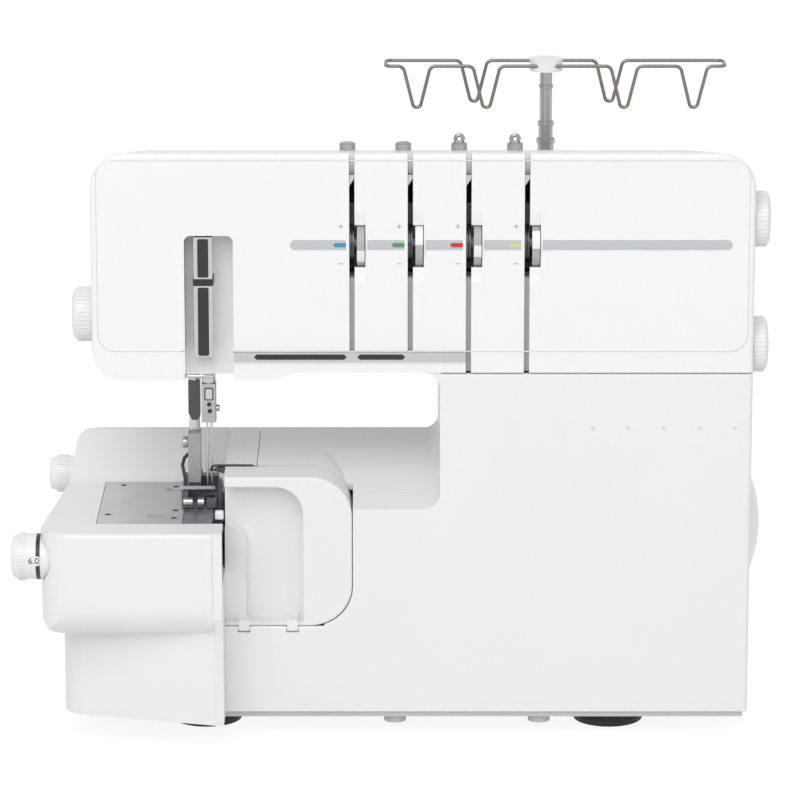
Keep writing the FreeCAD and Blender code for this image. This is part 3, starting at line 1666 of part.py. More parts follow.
def loopers():
    """Upper looper in the slit behind the door and lower looper under the plate."""
    bar = s.upper_looper_bar
    tip = LOOPER_TIP
    heel = LOOPER_HEEL
    level = s.upper_looper_height
    hook = prism(
        "upper_looper_hook",
        "XZ",
        [
            (tip, level),
            (tip + bar * 2, level - bar / 2),
            (heel - bar, level - bar / 2),
            (heel - bar, s.upper_looper_foot),
            (heel, s.upper_looper_foot),
            (heel, level + bar / 2),
            (tip + bar, level + bar / 2),
        ],
        spread(LOOPER_Y, s.looper_thickness / 2),
        {5: bar},
    )
    slider = looper_rod("upper_looper_rod", s.looper_rod_length, s.looper_rod_radius)
    node(join("upper_looper", hook, slider), "upper_looper")
    low_y = NEEDLE_Y + s.needle_radius + s.needle_radius * 2
    reach = s.lower_looper_bar
    arm = prism(
        "lower_looper_arm",
        "XZ",
        [
            (LOOPER_PIVOT_X - reach, s.lower_looper_pivot_height),
            (LOOPER_PIVOT_X + reach, s.lower_looper_pivot_height),
            (LOOPER_PIVOT_X + reach / 2, s.lower_looper_top),
            (NEEDLE_X - s.needle_pitch, s.lower_looper_top),
            (LOOPER_PIVOT_X - reach, s.lower_looper_top - reach),
        ],
        (low_y, low_y + s.looper_thickness),
        {2: reach},
    )
    hub_y = (low_y, low_y + s.looper_thickness * 2)
    place_xz = (LOOPER_PIVOT_X, s.lower_looper_pivot_height)
    hub = rod("lower_looper_hub", "Y", hub_y, place_xz, s.lower_looper_pivot_radius * 2)
    shaft = rod(
        "lower_looper_shaft",
        "Y",
        (low_y, low_y + s.looper_shaft_length),
        place_xz,
        s.lower_looper_pivot_radius,
    )
    node(join("lower_looper", arm, hub, shaft), "lower_looper")


def feed_dogs():
    """Two toothed bars in the stitch plate's slot, on one carrier."""
    top = s.plate_height
    bars = spread(PRESSER_X, s.feed_width / 2)
    y = spread(NEEDLE_Y, s.feed_length / 2)
    carrier = box("feed_carrier", bars, y, (top - s.feed_height, top))
    bar = box("feed_bar", bars, (NEEDLE_Y, PLATE_REAR + s.feed_clearance), FEED_BAR_Z)
    gullets = []
    pitch = s.feed_length / TEETH
    for index in range(TEETH):
        spot = (y[0] + pitch * (index + 0.5), top)
        gullets.append(
            rod(f"feed_gullet_{index}", "X", (bars[0] - OVER, bars[1] + OVER), spot, pitch / 4),
        )
    node(cut("feed_dogs", join("feed_solid", carrier, bar), *gullets), "feed_dogs")


def tension_units():
    """Bracket with its posts, the disc pairs and the four thumb wheels."""
    plate_y = FRONT + s.tension_plate_setback
    ears = []
    posts = []
    discs = []
    ear_z = spread(s.tension_height, s.tension_ear_height / 2)
    for index, x in enumerate(SLOTS):
        ear_right = x - s.tension_ear_offset
        ear_x = (ear_right - s.tension_ear_thickness, ear_right)
        wheel_x = (x + s.tension_wheel_offset, x + s.tension_wheel_offset + s.tension_wheel_width)
        place_yz = (TENSION_Y, s.tension_height)
        ears.append(
            box(f"tension_ear_{index}", ear_x, (TENSION_Y - s.tension_post_radius * 2, plate_y), ear_z),
        )
        posts.append(
            rod(f"tension_post_{index}", "X", (ear_x[0], wheel_x[1]), place_yz, s.tension_post_radius),
        )
        for side, name in ((-1, "left"), (1, "right")):
            inner = x + s.tension_disc_gap / 2 * side
            outer = inner + s.tension_disc_thickness * side
            span = (outer, inner) if side < 0 else (inner, outer)
            disc = rod(f"tension_disc_{name}_{index}", "X", span, place_yz, s.tension_disc_radius)
            eye = rod(f"tension_eye_{name}_{index}", "X", span, place_yz, s.tension_post_radius)
            discs.append(cut(f"tension_ring_{name}_{index}", disc, eye))
        rim = rod(f"tension_rim_{index}", "X", wheel_x, place_yz, s.tension_wheel_radius)
        bore = rod(
            f"tension_bore_{index}",
            "X",
            (x, wheel_x[1] + OVER),
            place_yz,
            s.tension_post_radius + s.running_gap,
        )
        node(cut(f"tension_wheel_{index}", rim, bore), TENSION_NAMES[index])
    plate_x = (SLOTS[0] - s.tension_ear_offset * 2, SLOTS[3] + s.tension_ear_offset * 2)
    plate = box(
        "tension_back",
        plate_x,
        (plate_y, plate_y + s.tension_plate_thickness),
        spread(s.tension_height, s.tension_plate_height / 2),
    )
    stays = []
    for index, x in enumerate((SLOTS[0], SLOTS[3])):
        stay_y = (plate_y + s.tension_plate_thickness, SPINE_FRONT)
        stays.append(
            rod(
                f"tension_stay_{index}",
                "Y",
                stay_y,
                (x, s.tension_height - s.tension_plate_height / 3),
                s.tension_post_radius * 2,
            ),
        )
    node(join("tension_bracket", plate, *ears, *posts, *stays), "tension_bracket")
    node(group("tension_discs", *discs), "tension_discs")


TENSION_NAMES = (
    "left_needle_tension_wheel",
    "right_needle_tension_wheel",
    "upper_looper_tension_wheel",
    "lower_looper_tension_wheel",
)


def thread_guides(arm):
    """Channels behind the slots, slot tips, the long rail, recess guards and top guides."""
    behind = FRONT + s.cover_wall
    channel_y = (behind, behind + s.channel_thickness)
    strips = []
    chrome = []
    bottoms = (s.panel_bottom - s.rail_height, s.panel_bottom - s.rail_height, ARM_BOTTOM, ARM_BOTTOM)
    for index, (x, bottom) in enumerate(zip(SLOTS, bottoms)):
        side = spread(x, s.channel_width / 2)
        low_z = (bottom + s.seam_gap, s.channel_gap_bottom)
        high_z = (s.channel_gap_top, s.panel_top - s.cover_wall)
        strips.append(box(f"channel_low_{index}", side, channel_y, low_z))
        strips.append(box(f"channel_high_{index}", side, channel_y, high_z))
        half = s.slot_width / 2 - s.seam_gap / 2
        chrome.append(
            prism(
                f"slot_tip_{index}",
                "XZ",
                [
                    (x - half, s.channel_gap_top),
                    (x - half, s.channel_gap_top - s.tip_height),
                    (x + half, s.channel_gap_top - s.tip_height / 3),
                    (x + half, s.channel_gap_top),
                ],
                (FRONT + s.panel_thickness / 2, channel_y[1]),
            )
        )
    node(group("thread_channels", *strips), "thread_channels")
    rail_right = SLOTS[2] - s.slot_width / 2
    rail_z = (s.panel_bottom - s.rail_height, s.panel_bottom)
    rail = prism(
        "thread_rail",
        "XZ",
        [
            (RECESS_RIGHT, rail_z[0]),
            (rail_right, rail_z[0]),
            (rail_right, rail_z[1]),
            (RECESS_RIGHT, rail_z[1]),
        ],
        (FRONT - s.rail_depth, FRONT),
    )
    node(group("face_thread_guides", rail, *chrome), "face_thread_guides")
    guards = []
    left = RECESS_LEFT + s.guard_inset
    guard_front = FRONT + s.guard_front
    heights = ((s.guard_band_top, s.guard_top), (s.guard_bottom, s.guard_band_bottom))
    for index, z in enumerate(heights):
        channel = box(f"guard_block_{index}", (left, left + s.guard_width), (guard_front, RECESS_BACK), z)
        inner = (left + s.guard_sheet, left + s.guard_width - s.guard_sheet)
        hollow = box(
            f"guard_hollow_{index}",
            inner,
            (guard_front + s.guard_sheet, RECESS_BACK + OVER),
            (z[0] - OVER, z[1] + OVER),
        )
        guards.append(cut(f"guard_{index}", channel, hollow))
    band_x = (left - s.guard_sheet / 2, left + s.guard_width + s.guard_sheet / 2)
    node(
        box(
            "take_up_band",
            band_x,
            (guard_front + s.guard_sheet, RECESS_BACK),
            (s.guard_band_bottom, s.guard_band_top),
        ),
        "take_up_band",
    )
    node(group("take_up_guards", *guards), "take_up_guards")
    tops = []
    across = s.top_guide_flats / 2
    slant = across / math.sqrt(3)
    y = FRONT + s.top_guide_setback
    for index in range(THREADS):
        x = RIGHT - s.top_guide_offset + s.top_guide_pitch * index
        surface = s.arm_top - s.arm_drop * (s.top_guide_setback / s.arm_depth)
        hexagon = [
            (x + across, y - slant),
            (x + across, y + slant),
            (x, y + slant * 2),
            (x - across, y + slant),
            (x - across, y - slant),
            (x, y - slant * 2),
        ]
        nut = prism(
            f"top_nut_{index}",
            "XY",
            hexagon,
            (surface - s.cover_wall, surface + s.top_guide_height),
        )
        pin_top = surface + s.top_guide_height + s.top_guide_pin_height
        pin = rod(f"top_pin_{index}", "Z", (surface, pin_top), (x, y), s.top_guide_pin_radius)
        tops.append(cut(f"top_guide_{index}", join(f"top_guide_raw_{index}", nut, pin), arm))
    node(group("top_thread_guides", *tops), "top_thread_guides")


def dial(label, wall_x, outward, reach, place_yz, radius, stem_end):
    """A thumb dial on a side wall: a rounded cap outside the wall and a stem inside it."""
    near = wall_x + s.seam_gap * outward
    far = wall_x + reach * outward
    lip = far - s.dial_rim * outward
    cap_span = (lip, near) if outward < 0 else (near, lip)
    rim_span = (far, lip) if outward < 0 else (lip, far)
    rim_radii = (radius - s.dial_rim, radius) if outward < 0 else (radius, radius - s.dial_rim)
    stem_span = (near, stem_end) if outward < 0 else (stem_end, near)
    cap = rod(label + "_cap", "X", cap_span, place_yz, radius)
    rim = taper(label + "_rim", "X", rim_span, place_yz, *rim_radii)
    stem = rod(label + "_stem", "X", stem_span, place_yz, s.dial_shaft_radius)
    node(join(label, cap, rim, stem), label)


def table_wall(y):
    """Where the table's slanting left wall stands at a depth."""
    return TABLE_LEFT + s.table_taper * ((y - TABLE_FRONT) / (BED_REAR - TABLE_FRONT))


def dials():
    rail_end = PLATE_LEFT + s.frame_web / 2
    cutting = (FRONT - s.cutting_dial_setback, s.cutting_dial_height)
    feed = (FRONT + s.feed_dial_setback, s.feed_dial_height)
    sink = s.table_dial_sink
    pressure = (FRONT + s.pressure_dial_setback, s.pressure_dial_height)
    side_y = FRONT + s.side_dial_setback
    post_middle = POST_RIGHT[1] - s.frame_web / 2
    cutting_seat = table_wall(cutting[0]) + sink
    feed_seat = table_wall(feed[0]) + sink
    dial(
        "cutting_width_dial",
        cutting_seat,
        -1,
        s.cutting_dial_reach + sink,
        cutting,
        s.cutting_dial_radius,
        rail_end,
    )
    dial(
        "differential_feed_dial",
        feed_seat,
        -1,
        s.feed_dial_reach + sink,
        feed,
        s.feed_dial_radius,
        rail_end,
    )
    dial(
        "presser_pressure_dial",
        HEAD,
        -1,
        s.pressure_dial_reach,
        pressure,
        s.pressure_dial_radius,
        HEAD_PLATE_RIGHT,
    )
    for label, height in (
        ("stitch_length_dial", s.stitch_dial_height),
        ("stitch_mode_dial", s.mode_dial_height),
    ):
        dial(label, RIGHT, 1, s.side_dial_reach, (side_y, height), s.side_dial_radius, post_middle)


def bottom():
    """Tray that closes the base, its studs and the rubber feet."""
    edge = s.edge_softness
    tray = prism(
        "tray_sheet",
        "XY",
        [
            (BED_SEAM - s.frame_web * 4, FRONT + edge),
            (RIGHT - edge, FRONT + edge),
            (RIGHT - edge, COLUMN_REAR - edge),
            (COLUMN + edge, COLUMN_REAR - edge),
            (COLUMN + edge, BED_REAR - edge),
            (BED_SEAM - s.frame_web * 4, BED_REAR - edge),
        ],
        (s.tray_height, s.skirt_height),
        {2: s.rear_softness, 3: s.rear_softness},
    )
    studs = []
    for index, x in enumerate((NOTHING, s.stud_x_right)):
        for row, y in enumerate((FRONT + s.frame_web, BED_REAR - s.frame_web * 2)):
            stud_z = (s.tray_height - s.stud_height, s.tray_height)
            studs.append(rod(f"tray_stud_{index}_{row}", "Z", stud_z, (x, y), s.stud_radius))
    node(join("base_tray", tray, *studs), "base_tray")
    feet = []
    for index, (x, rear) in enumerate(((-s.foot_x_left, BED_REAR), (s.foot_x_right, COLUMN_REAR))):
        for row, y in enumerate((-s.foot_y_front, rear - s.foot_radius - edge * 2)):
            shoulder = s.tray_height / 3
            sole = taper(
                f"foot_bevel_{index}_{row}",
                "Z",
                (NOTHING, shoulder),
                (x, y),
                s.foot_radius - shoulder / 2,
                s.foot_radius,
            )
            pad = rod(f"foot_pad_{index}_{row}", "Z", (shoulder, s.tray_height), (x, y), s.foot_radius)
            feet.append(join(f"foot_{index}_{row}", sole, pad))
    node(group("rubber_feet", *feet), "rubber_feet")


def spool_stand():
    """Spool shelf behind the arm with its pins, cone holders and the telescopic pole."""
    front = ARM_REAR + s.seam_gap * 10
    shelf_z = (s.column_height, STAND_TOP)
    corners = [
        (-s.stand_left, front),
        (s.stand_right, front),
        (s.stand_right, s.stand_rear),
        (-s.stand_left, s.stand_rear),
    ]
    shelf = prism("stand_shelf", "XY", corners, shelf_z, {2: s.stand_corner, 3: s.stand_corner})
    middle = (s.stand_right - s.stand_left) / 2
    pins = []
    cones = []
    for index in range(THREADS):
        spot = (middle + s.spool_pin_pitch * (index - (THREADS - 1) / 2), s.spool_pin_y)
        cone_span = (STAND_TOP, STAND_TOP + s.cone_height)
        neck = cone_span[1] + s.spool_pin_neck
        root = rod(f"spool_pin_root_{index}", "Z", (STAND_TOP, neck), spot, s.spool_pin_root_radius)
        shank_span = (neck, STAND_TOP + s.spool_pin_height)
        shank = rod(f"spool_pin_shank_{index}", "Z", shank_span, spot, s.spool_pin_radius)
        pins.append(join(f"spool_pin_{index}", root, shank))
        cone = taper(f"cone_body_{index}", "Z", cone_span, spot, s.cone_radius, s.cone_tip_radius)
        way = rod(f"cone_way_{index}", "Z", cone_span, spot, s.spool_pin_root_radius)
        cones.append(cut(f"cone_holder_{index}", cone, way))
    node(shelf, "spool_stand")
    node(group("spool_pins", *pins), "spool_pins")
    node(group("cone_holders", *cones), "cone_holders")
    spot = (s.pole_x, s.pole_y)
    floor = STAND_TOP + s.pole_stop / 2
    base = rod("pole_base_wall", "Z", (STAND_TOP, s.pole_base_top), spot, s.pole_base_radius)
    base_way = rod(
        "pole_base_way",
        "Z",
        (floor, s.pole_base_top + OVER),
        spot,
        s.pole_middle_radius + s.running_gap,
    )
    node(cut("pole_base_tube", base, base_way), "pole_base_tube")
    middle_low = floor + s.seam_gap
    tube = rod("pole_middle_wall", "Z", (middle_low, s.pole_middle_top), spot, s.pole_middle_radius)
    tube_floor = middle_low + s.pole_stop / 2
    tube_way = rod(
        "pole_middle_way",
        "Z",
        (tube_floor, s.pole_middle_top + OVER),
        spot,
        s.pole_upper_radius + s.running_gap,
    )
    node(cut("pole_middle_tube", tube, tube_way), "pole_middle_tube")
    node(
        rod("pole_upper_rod", "Z", (tube_floor + s.seam_gap, s.hub_bottom), spot, s.pole_upper_radius),
        "pole_upper_rod",
    )
    node(
        rod("antenna_hub", "Z", (s.hub_bottom, s.hub_bottom + s.hub_height), spot, s.hub_radius),
        "antenna_hub",
    )


def antenna_route():
    """Corner points of the bent wire: along the front with four dips, back along the rear with two."""
    half = s.antenna_half.value
    front = -s.antenna_front.value
    rear = s.antenna_rear.value
    inner = s.dip_front_inner.value
    outer = s.dip_front_outer.value
    points = [(-half, front, 0.0)]
    for x in (-outer, -inner, inner, outer):
        points += dip(x, front, 1)
    points += [(half, front, 0.0), (half, rear, 0.0)]
    for x in (s.dip_rear_right.value, -s.dip_rear_left.value):
        points += dip(x, rear, -1)
    points.append((-half, rear, 0.0))
    return points


def dip(x, y, heading):
    """One V-shaped thread dip of the wire."""
    mouth = s.dip_mouth.value * heading
    floor = s.dip_floor.value * heading
    depth = -s.dip_depth.value
    return [(x - mouth, y, 0.0), (x - floor, y, depth), (x + floor, y, depth), (x + mouth, y, 0.0)]


def antenna_wire():
    """Closed wire loop with rounded bends, threaded through the hub."""
    middle_z = (s.hub_bottom + s.hub_height / 2).value
    origin = FreeCAD.Vector((s.pole_x + s.antenna_offset).value, s.pole_y.value, middle_z)
    corners = [FreeCAD.Vector(*point) + origin for point in antenna_route()]
    start = corners[-1] + (corners[0] - corners[-1]) * 0.5
    edges = []
    last = start
    for index, corner in enumerate(corners):
        following = corners[index + 1] if index + 1 < len(corners) else start
        room = min((corner - last).Length, (following - corner).Length / 2)
        toward = (last - corner).normalize()
        away = (following - corner).normalize()
        half_turn = (math.pi - toward.getAngle(away)) / 2
        trim = min(s.wire_bend.value * math.tan(half_turn), room * BEND_SHARE)
        bend = trim / math.tan(half_turn)
        entry = corner + toward * trim
        leave = corner + away * trim
        sag = bend / math.cos(half_turn) - bend
        middle = corner + (toward + away).normalize() * sag
        edges.append(Part.LineSegment(last, entry).toShape())
        edges.append(Part.Arc(entry, middle, leave).toShape())
        last = leave
    edges.append(Part.LineSegment(last, start).toShape())
    spine = Part.Wire(edges)
    ring = Part.Wire(Part.Circle(start, (corners[0] - start).normalize(), s.wire_radius.value).toShape())
    wire = DOC.addObject("Part::Feature", "antenna_wire")
    wire.Shape = spine.makePipeShell([ring], True, True)
    node(wire, "antenna_wire")


def power_limits():
    """Y and Z limits of the inlet and switch block in the right wall."""
    middle = FRONT + s.power_setback
    half = s.inlet_width / 2
    return spread(middle, half), (s.power_height - half, s.switch_height + half)


def power_block():
    """Mains inlet and rocker switch in one block, and a lamp strip under the arm."""
    y, z = power_limits()
    middle = FRONT + s.power_setback
    block = box("power_block", (RIGHT - s.inlet_depth, RIGHT), y, z)
    socket_wall = s.socket_wall
    socket_half = s.inlet_width / 2 - socket_wall
    socket = box(
        "power_socket",
        (RIGHT - s.inlet_depth + socket_wall, RIGHT + OVER),
        spread(middle, socket_half),
        spread(s.power_height, socket_half),
    )
    switch_half = s.switch_width / 2 + s.seam_gap
    switch_room = box(
        "switch_room",
        (RIGHT - s.inlet_depth + socket_wall, RIGHT + OVER),
        spread(middle, switch_half),
        spread(s.switch_height, s.switch_length / 2 + s.switch_swing),
    )
    pivot_x = RIGHT - s.inlet_depth / 2
    pivot_way = rod(
        "switch_pivot_way",
        "Y",
        spread(middle, switch_half + socket_wall / 2),
        (pivot_x, s.switch_height),
        s.switch_pivot_radius + s.running_gap,
    )
    pins = []
    for index, side in enumerate((-1, 1)):
        pin_span = (RIGHT - s.inlet_depth, RIGHT - socket_wall)
        pins.append(
            rod(
                f"power_pin_{index}",
                "X",
                pin_span,
                (middle + socket_half / 2 * side, s.power_height),
                s.socket_pin_radius,
            ),
        )
    node(
        join("power_inlet", cut("power_hollow", block, socket, switch_room, pivot_way), *pins),
        "power_inlet",
    )
    reach = s.switch_length / 2
    rocker = prism(
        "switch_rocker",
        "XZ",
        [
            (pivot_x - s.switch_pivot_radius * 2, s.switch_height - reach / 2),
            (RIGHT, s.switch_height - reach),
            (RIGHT - s.cover_wall / 2, s.switch_height),
            (RIGHT, s.switch_height + reach),
            (pivot_x - s.switch_pivot_radius * 2, s.switch_height + reach / 2),
        ],
        spread(middle, s.switch_width / 2),
    )
    pivot = rod(
        "switch_pivot",
        "Y",
        spread(middle, switch_half + socket_wall / 2 - s.seam_gap),
        (pivot_x, s.switch_height),
        s.switch_pivot_radius,
    )
    node(join("power_switch", rocker, pivot), "power_switch")
    lamp_x = HEAD + s.head_width + s.head_ramp + s.cover_wall
    lamp_y = FRONT + s.arm_split + s.cover_wall
    node(
        box(
            "sewing_light",
            (lamp_x, lamp_x + s.light_length),
            (lamp_y, lamp_y + s.light_width),
            (ARM_BOTTOM - s.light_depth, ARM_BOTTOM),
        ),
        "sewing_light",
    )


def build():
    shell = lower_shell()
    base_front_cover(shell)
    base_rear_cover(shell)
    bed_end_cover(shell)
    looper_cover()
    arm = upper_covers()
    extension_table()
    needle_plates()
    machine_frame()
    drive_train()
    needle_group()
    presser_group()
    knives()
    loopers()
    feed_dogs()
    tension_units()
    thread_guides(arm)
    dials()
    bottom()
    spool_stand()
    antenna_wire()
    power_block()


def write_parts():
    """Check every object, then write one file for each piece."""
    DOC.recompute()
    faulty = [item.Label for item in DOC.Objects if {"Invalid", "Error"} & set(item.State)]
    for item in NODES:
        if item.Shape.isNull() or not item.Shape.isValid() or not item.Shape.Solids:
            faulty.append(item.Label)
    if faulty:
        raise RuntimeError("pieces that did not build: " + ", ".join(faulty))
    os.makedirs("parts", exist_ok=True)
    for item in NODES:
        item.Shape.exportStep(f"parts/{item.Label}.step")


build()
write_parts()
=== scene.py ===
"""Looks of the household serger: finishes for every solid and the small parts that dress it.

Metres in Blender; sizes below are written in millimetres and scaled once by MM.
"""
import math

import bmesh
import bpy
from mathutils import Matrix, Vector


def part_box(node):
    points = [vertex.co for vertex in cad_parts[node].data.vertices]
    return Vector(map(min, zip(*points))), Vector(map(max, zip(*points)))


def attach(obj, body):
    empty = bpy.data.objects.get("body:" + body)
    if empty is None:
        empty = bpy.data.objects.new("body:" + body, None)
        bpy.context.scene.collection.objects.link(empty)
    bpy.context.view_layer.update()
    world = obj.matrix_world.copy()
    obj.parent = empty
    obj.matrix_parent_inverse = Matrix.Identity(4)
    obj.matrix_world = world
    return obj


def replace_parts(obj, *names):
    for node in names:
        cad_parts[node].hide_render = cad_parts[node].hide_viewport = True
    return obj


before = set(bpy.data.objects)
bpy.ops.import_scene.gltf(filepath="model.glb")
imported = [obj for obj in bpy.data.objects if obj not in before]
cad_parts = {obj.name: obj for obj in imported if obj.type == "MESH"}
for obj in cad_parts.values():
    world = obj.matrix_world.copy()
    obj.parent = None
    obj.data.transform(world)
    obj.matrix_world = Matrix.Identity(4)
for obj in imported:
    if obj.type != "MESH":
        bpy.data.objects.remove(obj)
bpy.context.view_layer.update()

MM = 0.001

# Faces and axes of the solids that the trim sits on.
ARM_LEFT = -135.5
ARM_RIGHT = 160.5
ARM_FRONT = -108.0
ARM_BOTTOM = 170.9
COLUMN_LEFT = 20.3
SLOTS = (-19.1, 6.9, 32.9, 58.9)
THREAD_NAMES = ("left_needle", "right_needle", "upper_looper", "lower_looper")
TENSION_AXIS = (-98.4, 228.5)
NEEDLE_Y = -85.0
PLATE_TOP = 104.0


# Shader groups shared by several finishes.

NOISE_SPAN = (0.3, 0.7)
BROAD_DETAIL = 3.0
FINE_DETAIL = 4.0
BUMP_DEPTH = 0.0001


def shader_group(name, inputs, outputs):
    """An empty shader group with its sockets; returns the tree, its input node and its output node."""
    tree = bpy.data.node_groups.new(name, "ShaderNodeTree")
    for label, kind, value in inputs:
        socket = tree.interface.new_socket(label, in_out="INPUT", socket_type=kind)
        socket.default_value = value
    for label, kind in outputs:
        tree.interface.new_socket(label, in_out="OUTPUT", socket_type=kind)
    return tree, tree.nodes.new("NodeGroupInput"), tree.nodes.new("NodeGroupOutput")


def noise(tree, vector, scale, detail):
    """A noise texture over the given coordinates."""
    item = tree.nodes.new("ShaderNodeTexNoise")
    item.inputs["Scale"].default_value = scale
    item.inputs["Detail"].default_value = detail
    tree.links.new(vector, item.inputs["Vector"])
    return item


def spread_value(tree, source, low, high):
    """Maps the usual span of a noise onto low to high."""
    item = tree.nodes.new("ShaderNodeMapRange")
    item.inputs["From Min"].default_value = NOISE_SPAN[0]
    item.inputs["From Max"].default_value = NOISE_SPAN[1]
    item.inputs["To Min"].default_value = low
    item.inputs["To Max"].default_value = high
    tree.links.new(source, item.inputs["Value"])
    return item.outputs["Result"]


def tinted(tree, colour, shade):
    """The colour multiplied by a grey shade value."""
    item = tree.nodes.new("ShaderNodeVectorMath")
    item.operation = "SCALE"
    tree.links.new(colour, item.inputs[0])
    tree.links.new(shade, item.inputs["Scale"])
    return item.outputs["Vector"]


def combined(tree, first, second, operation="ADD"):
    """Two numbers or sockets put through one Math node."""
    item = tree.nodes.new("ShaderNodeMath")
    item.operation = operation
    for socket, value in zip(item.inputs, (first, second)):
        if isinstance(value, (int, float)):
            socket.default_value = value
        else:
            tree.links.new(value, socket)
    return item.outputs[0]


def make_surface_group(name, stretch, broad_scale, fine_scale, shade):
    """Broad tone, roughness change and a fine height over one surface; stretch draws the grain out."""
    tree, entry, leave = shader_group(
        name,
        [
            ("Colour", "NodeSocketColor", (0.8, 0.8, 0.8, 1.0)),
            ("Roughness", "NodeSocketFloat", 0.4),
            ("Roughness change", "NodeSocketFloat", 0.08),
        ],
        [("Colour", "NodeSocketColor"), ("Roughness", "NodeSocketFloat"), ("Height", "NodeSocketFloat")],
    )
    place = tree.nodes.new("ShaderNodeTexCoord")
    drawn = tree.nodes.new("ShaderNodeMapping")
    drawn.inputs["Scale"].default_value = stretch
    tree.links.new(place.outputs["Object"], drawn.inputs["Vector"])
    broad = noise(tree, place.outputs["Object"], broad_scale, BROAD_DETAIL)
    fine = noise(tree, drawn.outputs["Vector"], fine_scale, FINE_DETAIL)
    both = combined(tree, broad.outputs["Fac"], fine.outputs["Fac"])
    mixed = combined(tree, both, 0.5, "MULTIPLY")
    tone = spread_value(tree, mixed, 1.0 - shade, 1.0 + shade)
    tree.links.new(tinted(tree, entry.outputs["Colour"], tone), leave.inputs["Colour"])
    swing = spread_value(tree, fine.outputs["Fac"], -1.0, 1.0)
    change = combined(tree, swing, entry.outputs["Roughness change"], "MULTIPLY")
    tree.links.new(combined(tree, entry.outputs["Roughness"], change), leave.inputs["Roughness"])
    tree.links.new(fine.outputs["Fac"], leave.inputs["Height"])
    return tree


# Name, how the grain is drawn out, broad and fine scale, change of shade.
MOULDED_SKIN = make_surface_group("moulded_skin", (1, 1, 1), 14.0, 1700.0, 0.016)
BRUSHED_LINES = make_surface_group("brushed_lines", (0.03, 1, 1), 30.0, 2400.0, 0.16)
TURNED_LINES = make_surface_group("turned_lines", (1, 1, 0.04), 30.0, 1500.0, 0.12)
BLASTED_GRAIN = make_surface_group("blasted_grain", (1, 1, 1), 60.0, 1100.0, 0.18)
RUBBER_GRAIN = make_surface_group("rubber_grain", (1, 1, 1), 40.0, 900.0, 0.25)
POLISHED_METAL = make_surface_group("polished_metal", (1, 1, 1), 25.0, 900.0, 0.05)


def finish(name, group, colour, roughness, change, bump, metallic=0.0, coat=0.0, clear=None):
    """A finish whose colour, roughness and bump come from one of the groups; clear lets light through."""
    material = bpy.data.materials.new(name)
    material.use_nodes = True
    tree = material.node_tree
    shader = tree.nodes["Principled BSDF"]
    grain = tree.nodes.new("ShaderNodeGroup")
    grain.node_tree = group
    grain.inputs["Colour"].default_value = (*colour, 1.0)
    grain.inputs["Roughness"].default_value = roughness
    grain.inputs["Roughness change"].default_value = change
    tree.links.new(grain.outputs["Colour"], shader.inputs["Base Color"])
    tree.links.new(grain.outputs["Roughness"], shader.inputs["Roughness"])
    raised = tree.nodes.new("ShaderNodeBump")
    raised.inputs["Strength"].default_value = bump
    raised.inputs["Distance"].default_value = BUMP_DEPTH
    tree.links.new(grain.outputs["Height"], raised.inputs["Height"])
    tree.links.new(raised.outputs["Normal"], shader.inputs["Normal"])
    shader.inputs["Metallic"].default_value = metallic
    shader.inputs["Coat Weight"].default_value = coat
    if clear is not None:
        shader.inputs["Transmission Weight"].default_value = clear
    return material


def banded(material, bands):
    """Tints a finish by height, which paints shade into the thread slots here: bands are (height in mm, grey
    level) from the bottom up.
    """
    tree = material.node_tree
    shader = tree.nodes["Principled BSDF"]
    place = tree.nodes.new("ShaderNodeTexCoord")
    parts = tree.nodes.new("ShaderNodeSeparateXYZ")
    tree.links.new(place.outputs["Object"], parts.inputs["Vector"])
    low, high = bands[0][0] * MM, bands[-1][0] * MM
    level = tree.nodes.new("ShaderNodeMapRange")
    level.inputs["From Min"].default_value = low
    level.inputs["From Max"].default_value = high
    tree.links.new(parts.outputs["Z"], level.inputs["Value"])
    ramp = tree.nodes.new("ShaderNodeValToRGB")
    stops = ramp.color_ramp.elements
    while len(stops) < len(bands):
        stops.new(0.5)
    for stop, (height, grey) in zip(stops, bands):
        stop.position = (height * MM - low) / (high - low)
        stop.color = (grey, grey, grey, 1.0)
    tree.links.new(level.outputs["Result"], ramp.inputs["Fac"])
    blend = tree.nodes.new("ShaderNodeMix")
    blend.data_type = "RGBA"
    blend.blend_type = "MULTIPLY"
    blend.inputs["Factor"].default_value = 1.0
    grain = [item for item in tree.nodes if item.type == "GROUP"][0]
    tree.links.new(grain.outputs["Colour"], blend.inputs["A"])
    tree.links.new(ramp.outputs["Color"], blend.inputs["B"])
    tree.links.new(blend.outputs["Result"], shader.inputs["Base Color"])
    return material


# Name, group, colour, roughness and its change, bump.
white_arm = finish("white_arm_plastic", MOULDED_SKIN, (0.89, 0.89, 0.895), 0.36, 0.05, 0.10, coat=0.08)
white_base = finish("white_base_plastic", MOULDED_SKIN, (0.855, 0.855, 0.86), 0.40, 0.05, 0.12, coat=0.05)
white_knob = finish("white_knob_plastic", MOULDED_SKIN, (0.86, 0.86, 0.865), 0.34, 0.06, 0.08, coat=0.10)
grey_plastic = finish("grey_wheel_plastic", MOULDED_SKIN, (0.46, 0.46, 0.47), 0.42, 0.06, 0.15)
tray_plastic = finish("grey_tray_plastic", MOULDED_SKIN, (0.60, 0.60, 0.605), 0.5, 0.06, 0.2)
# The slot linings are white, tinted darker towards the bottom of each slot: these grey bands are painted
# shade down the slot's depth.
slot_liner_painted_shade = banded(
    finish("slot_liner_painted_shade", MOULDED_SKIN, (1.0, 1.0, 1.0), 0.45, 0.05, 0.1),
    [(261.0, 0.20), (264.5, 0.42), (270.5, 0.70)],
)
black_plastic = finish("black_plastic", MOULDED_SKIN, (0.018, 0.018, 0.02), 0.38, 0.08, 0.15)
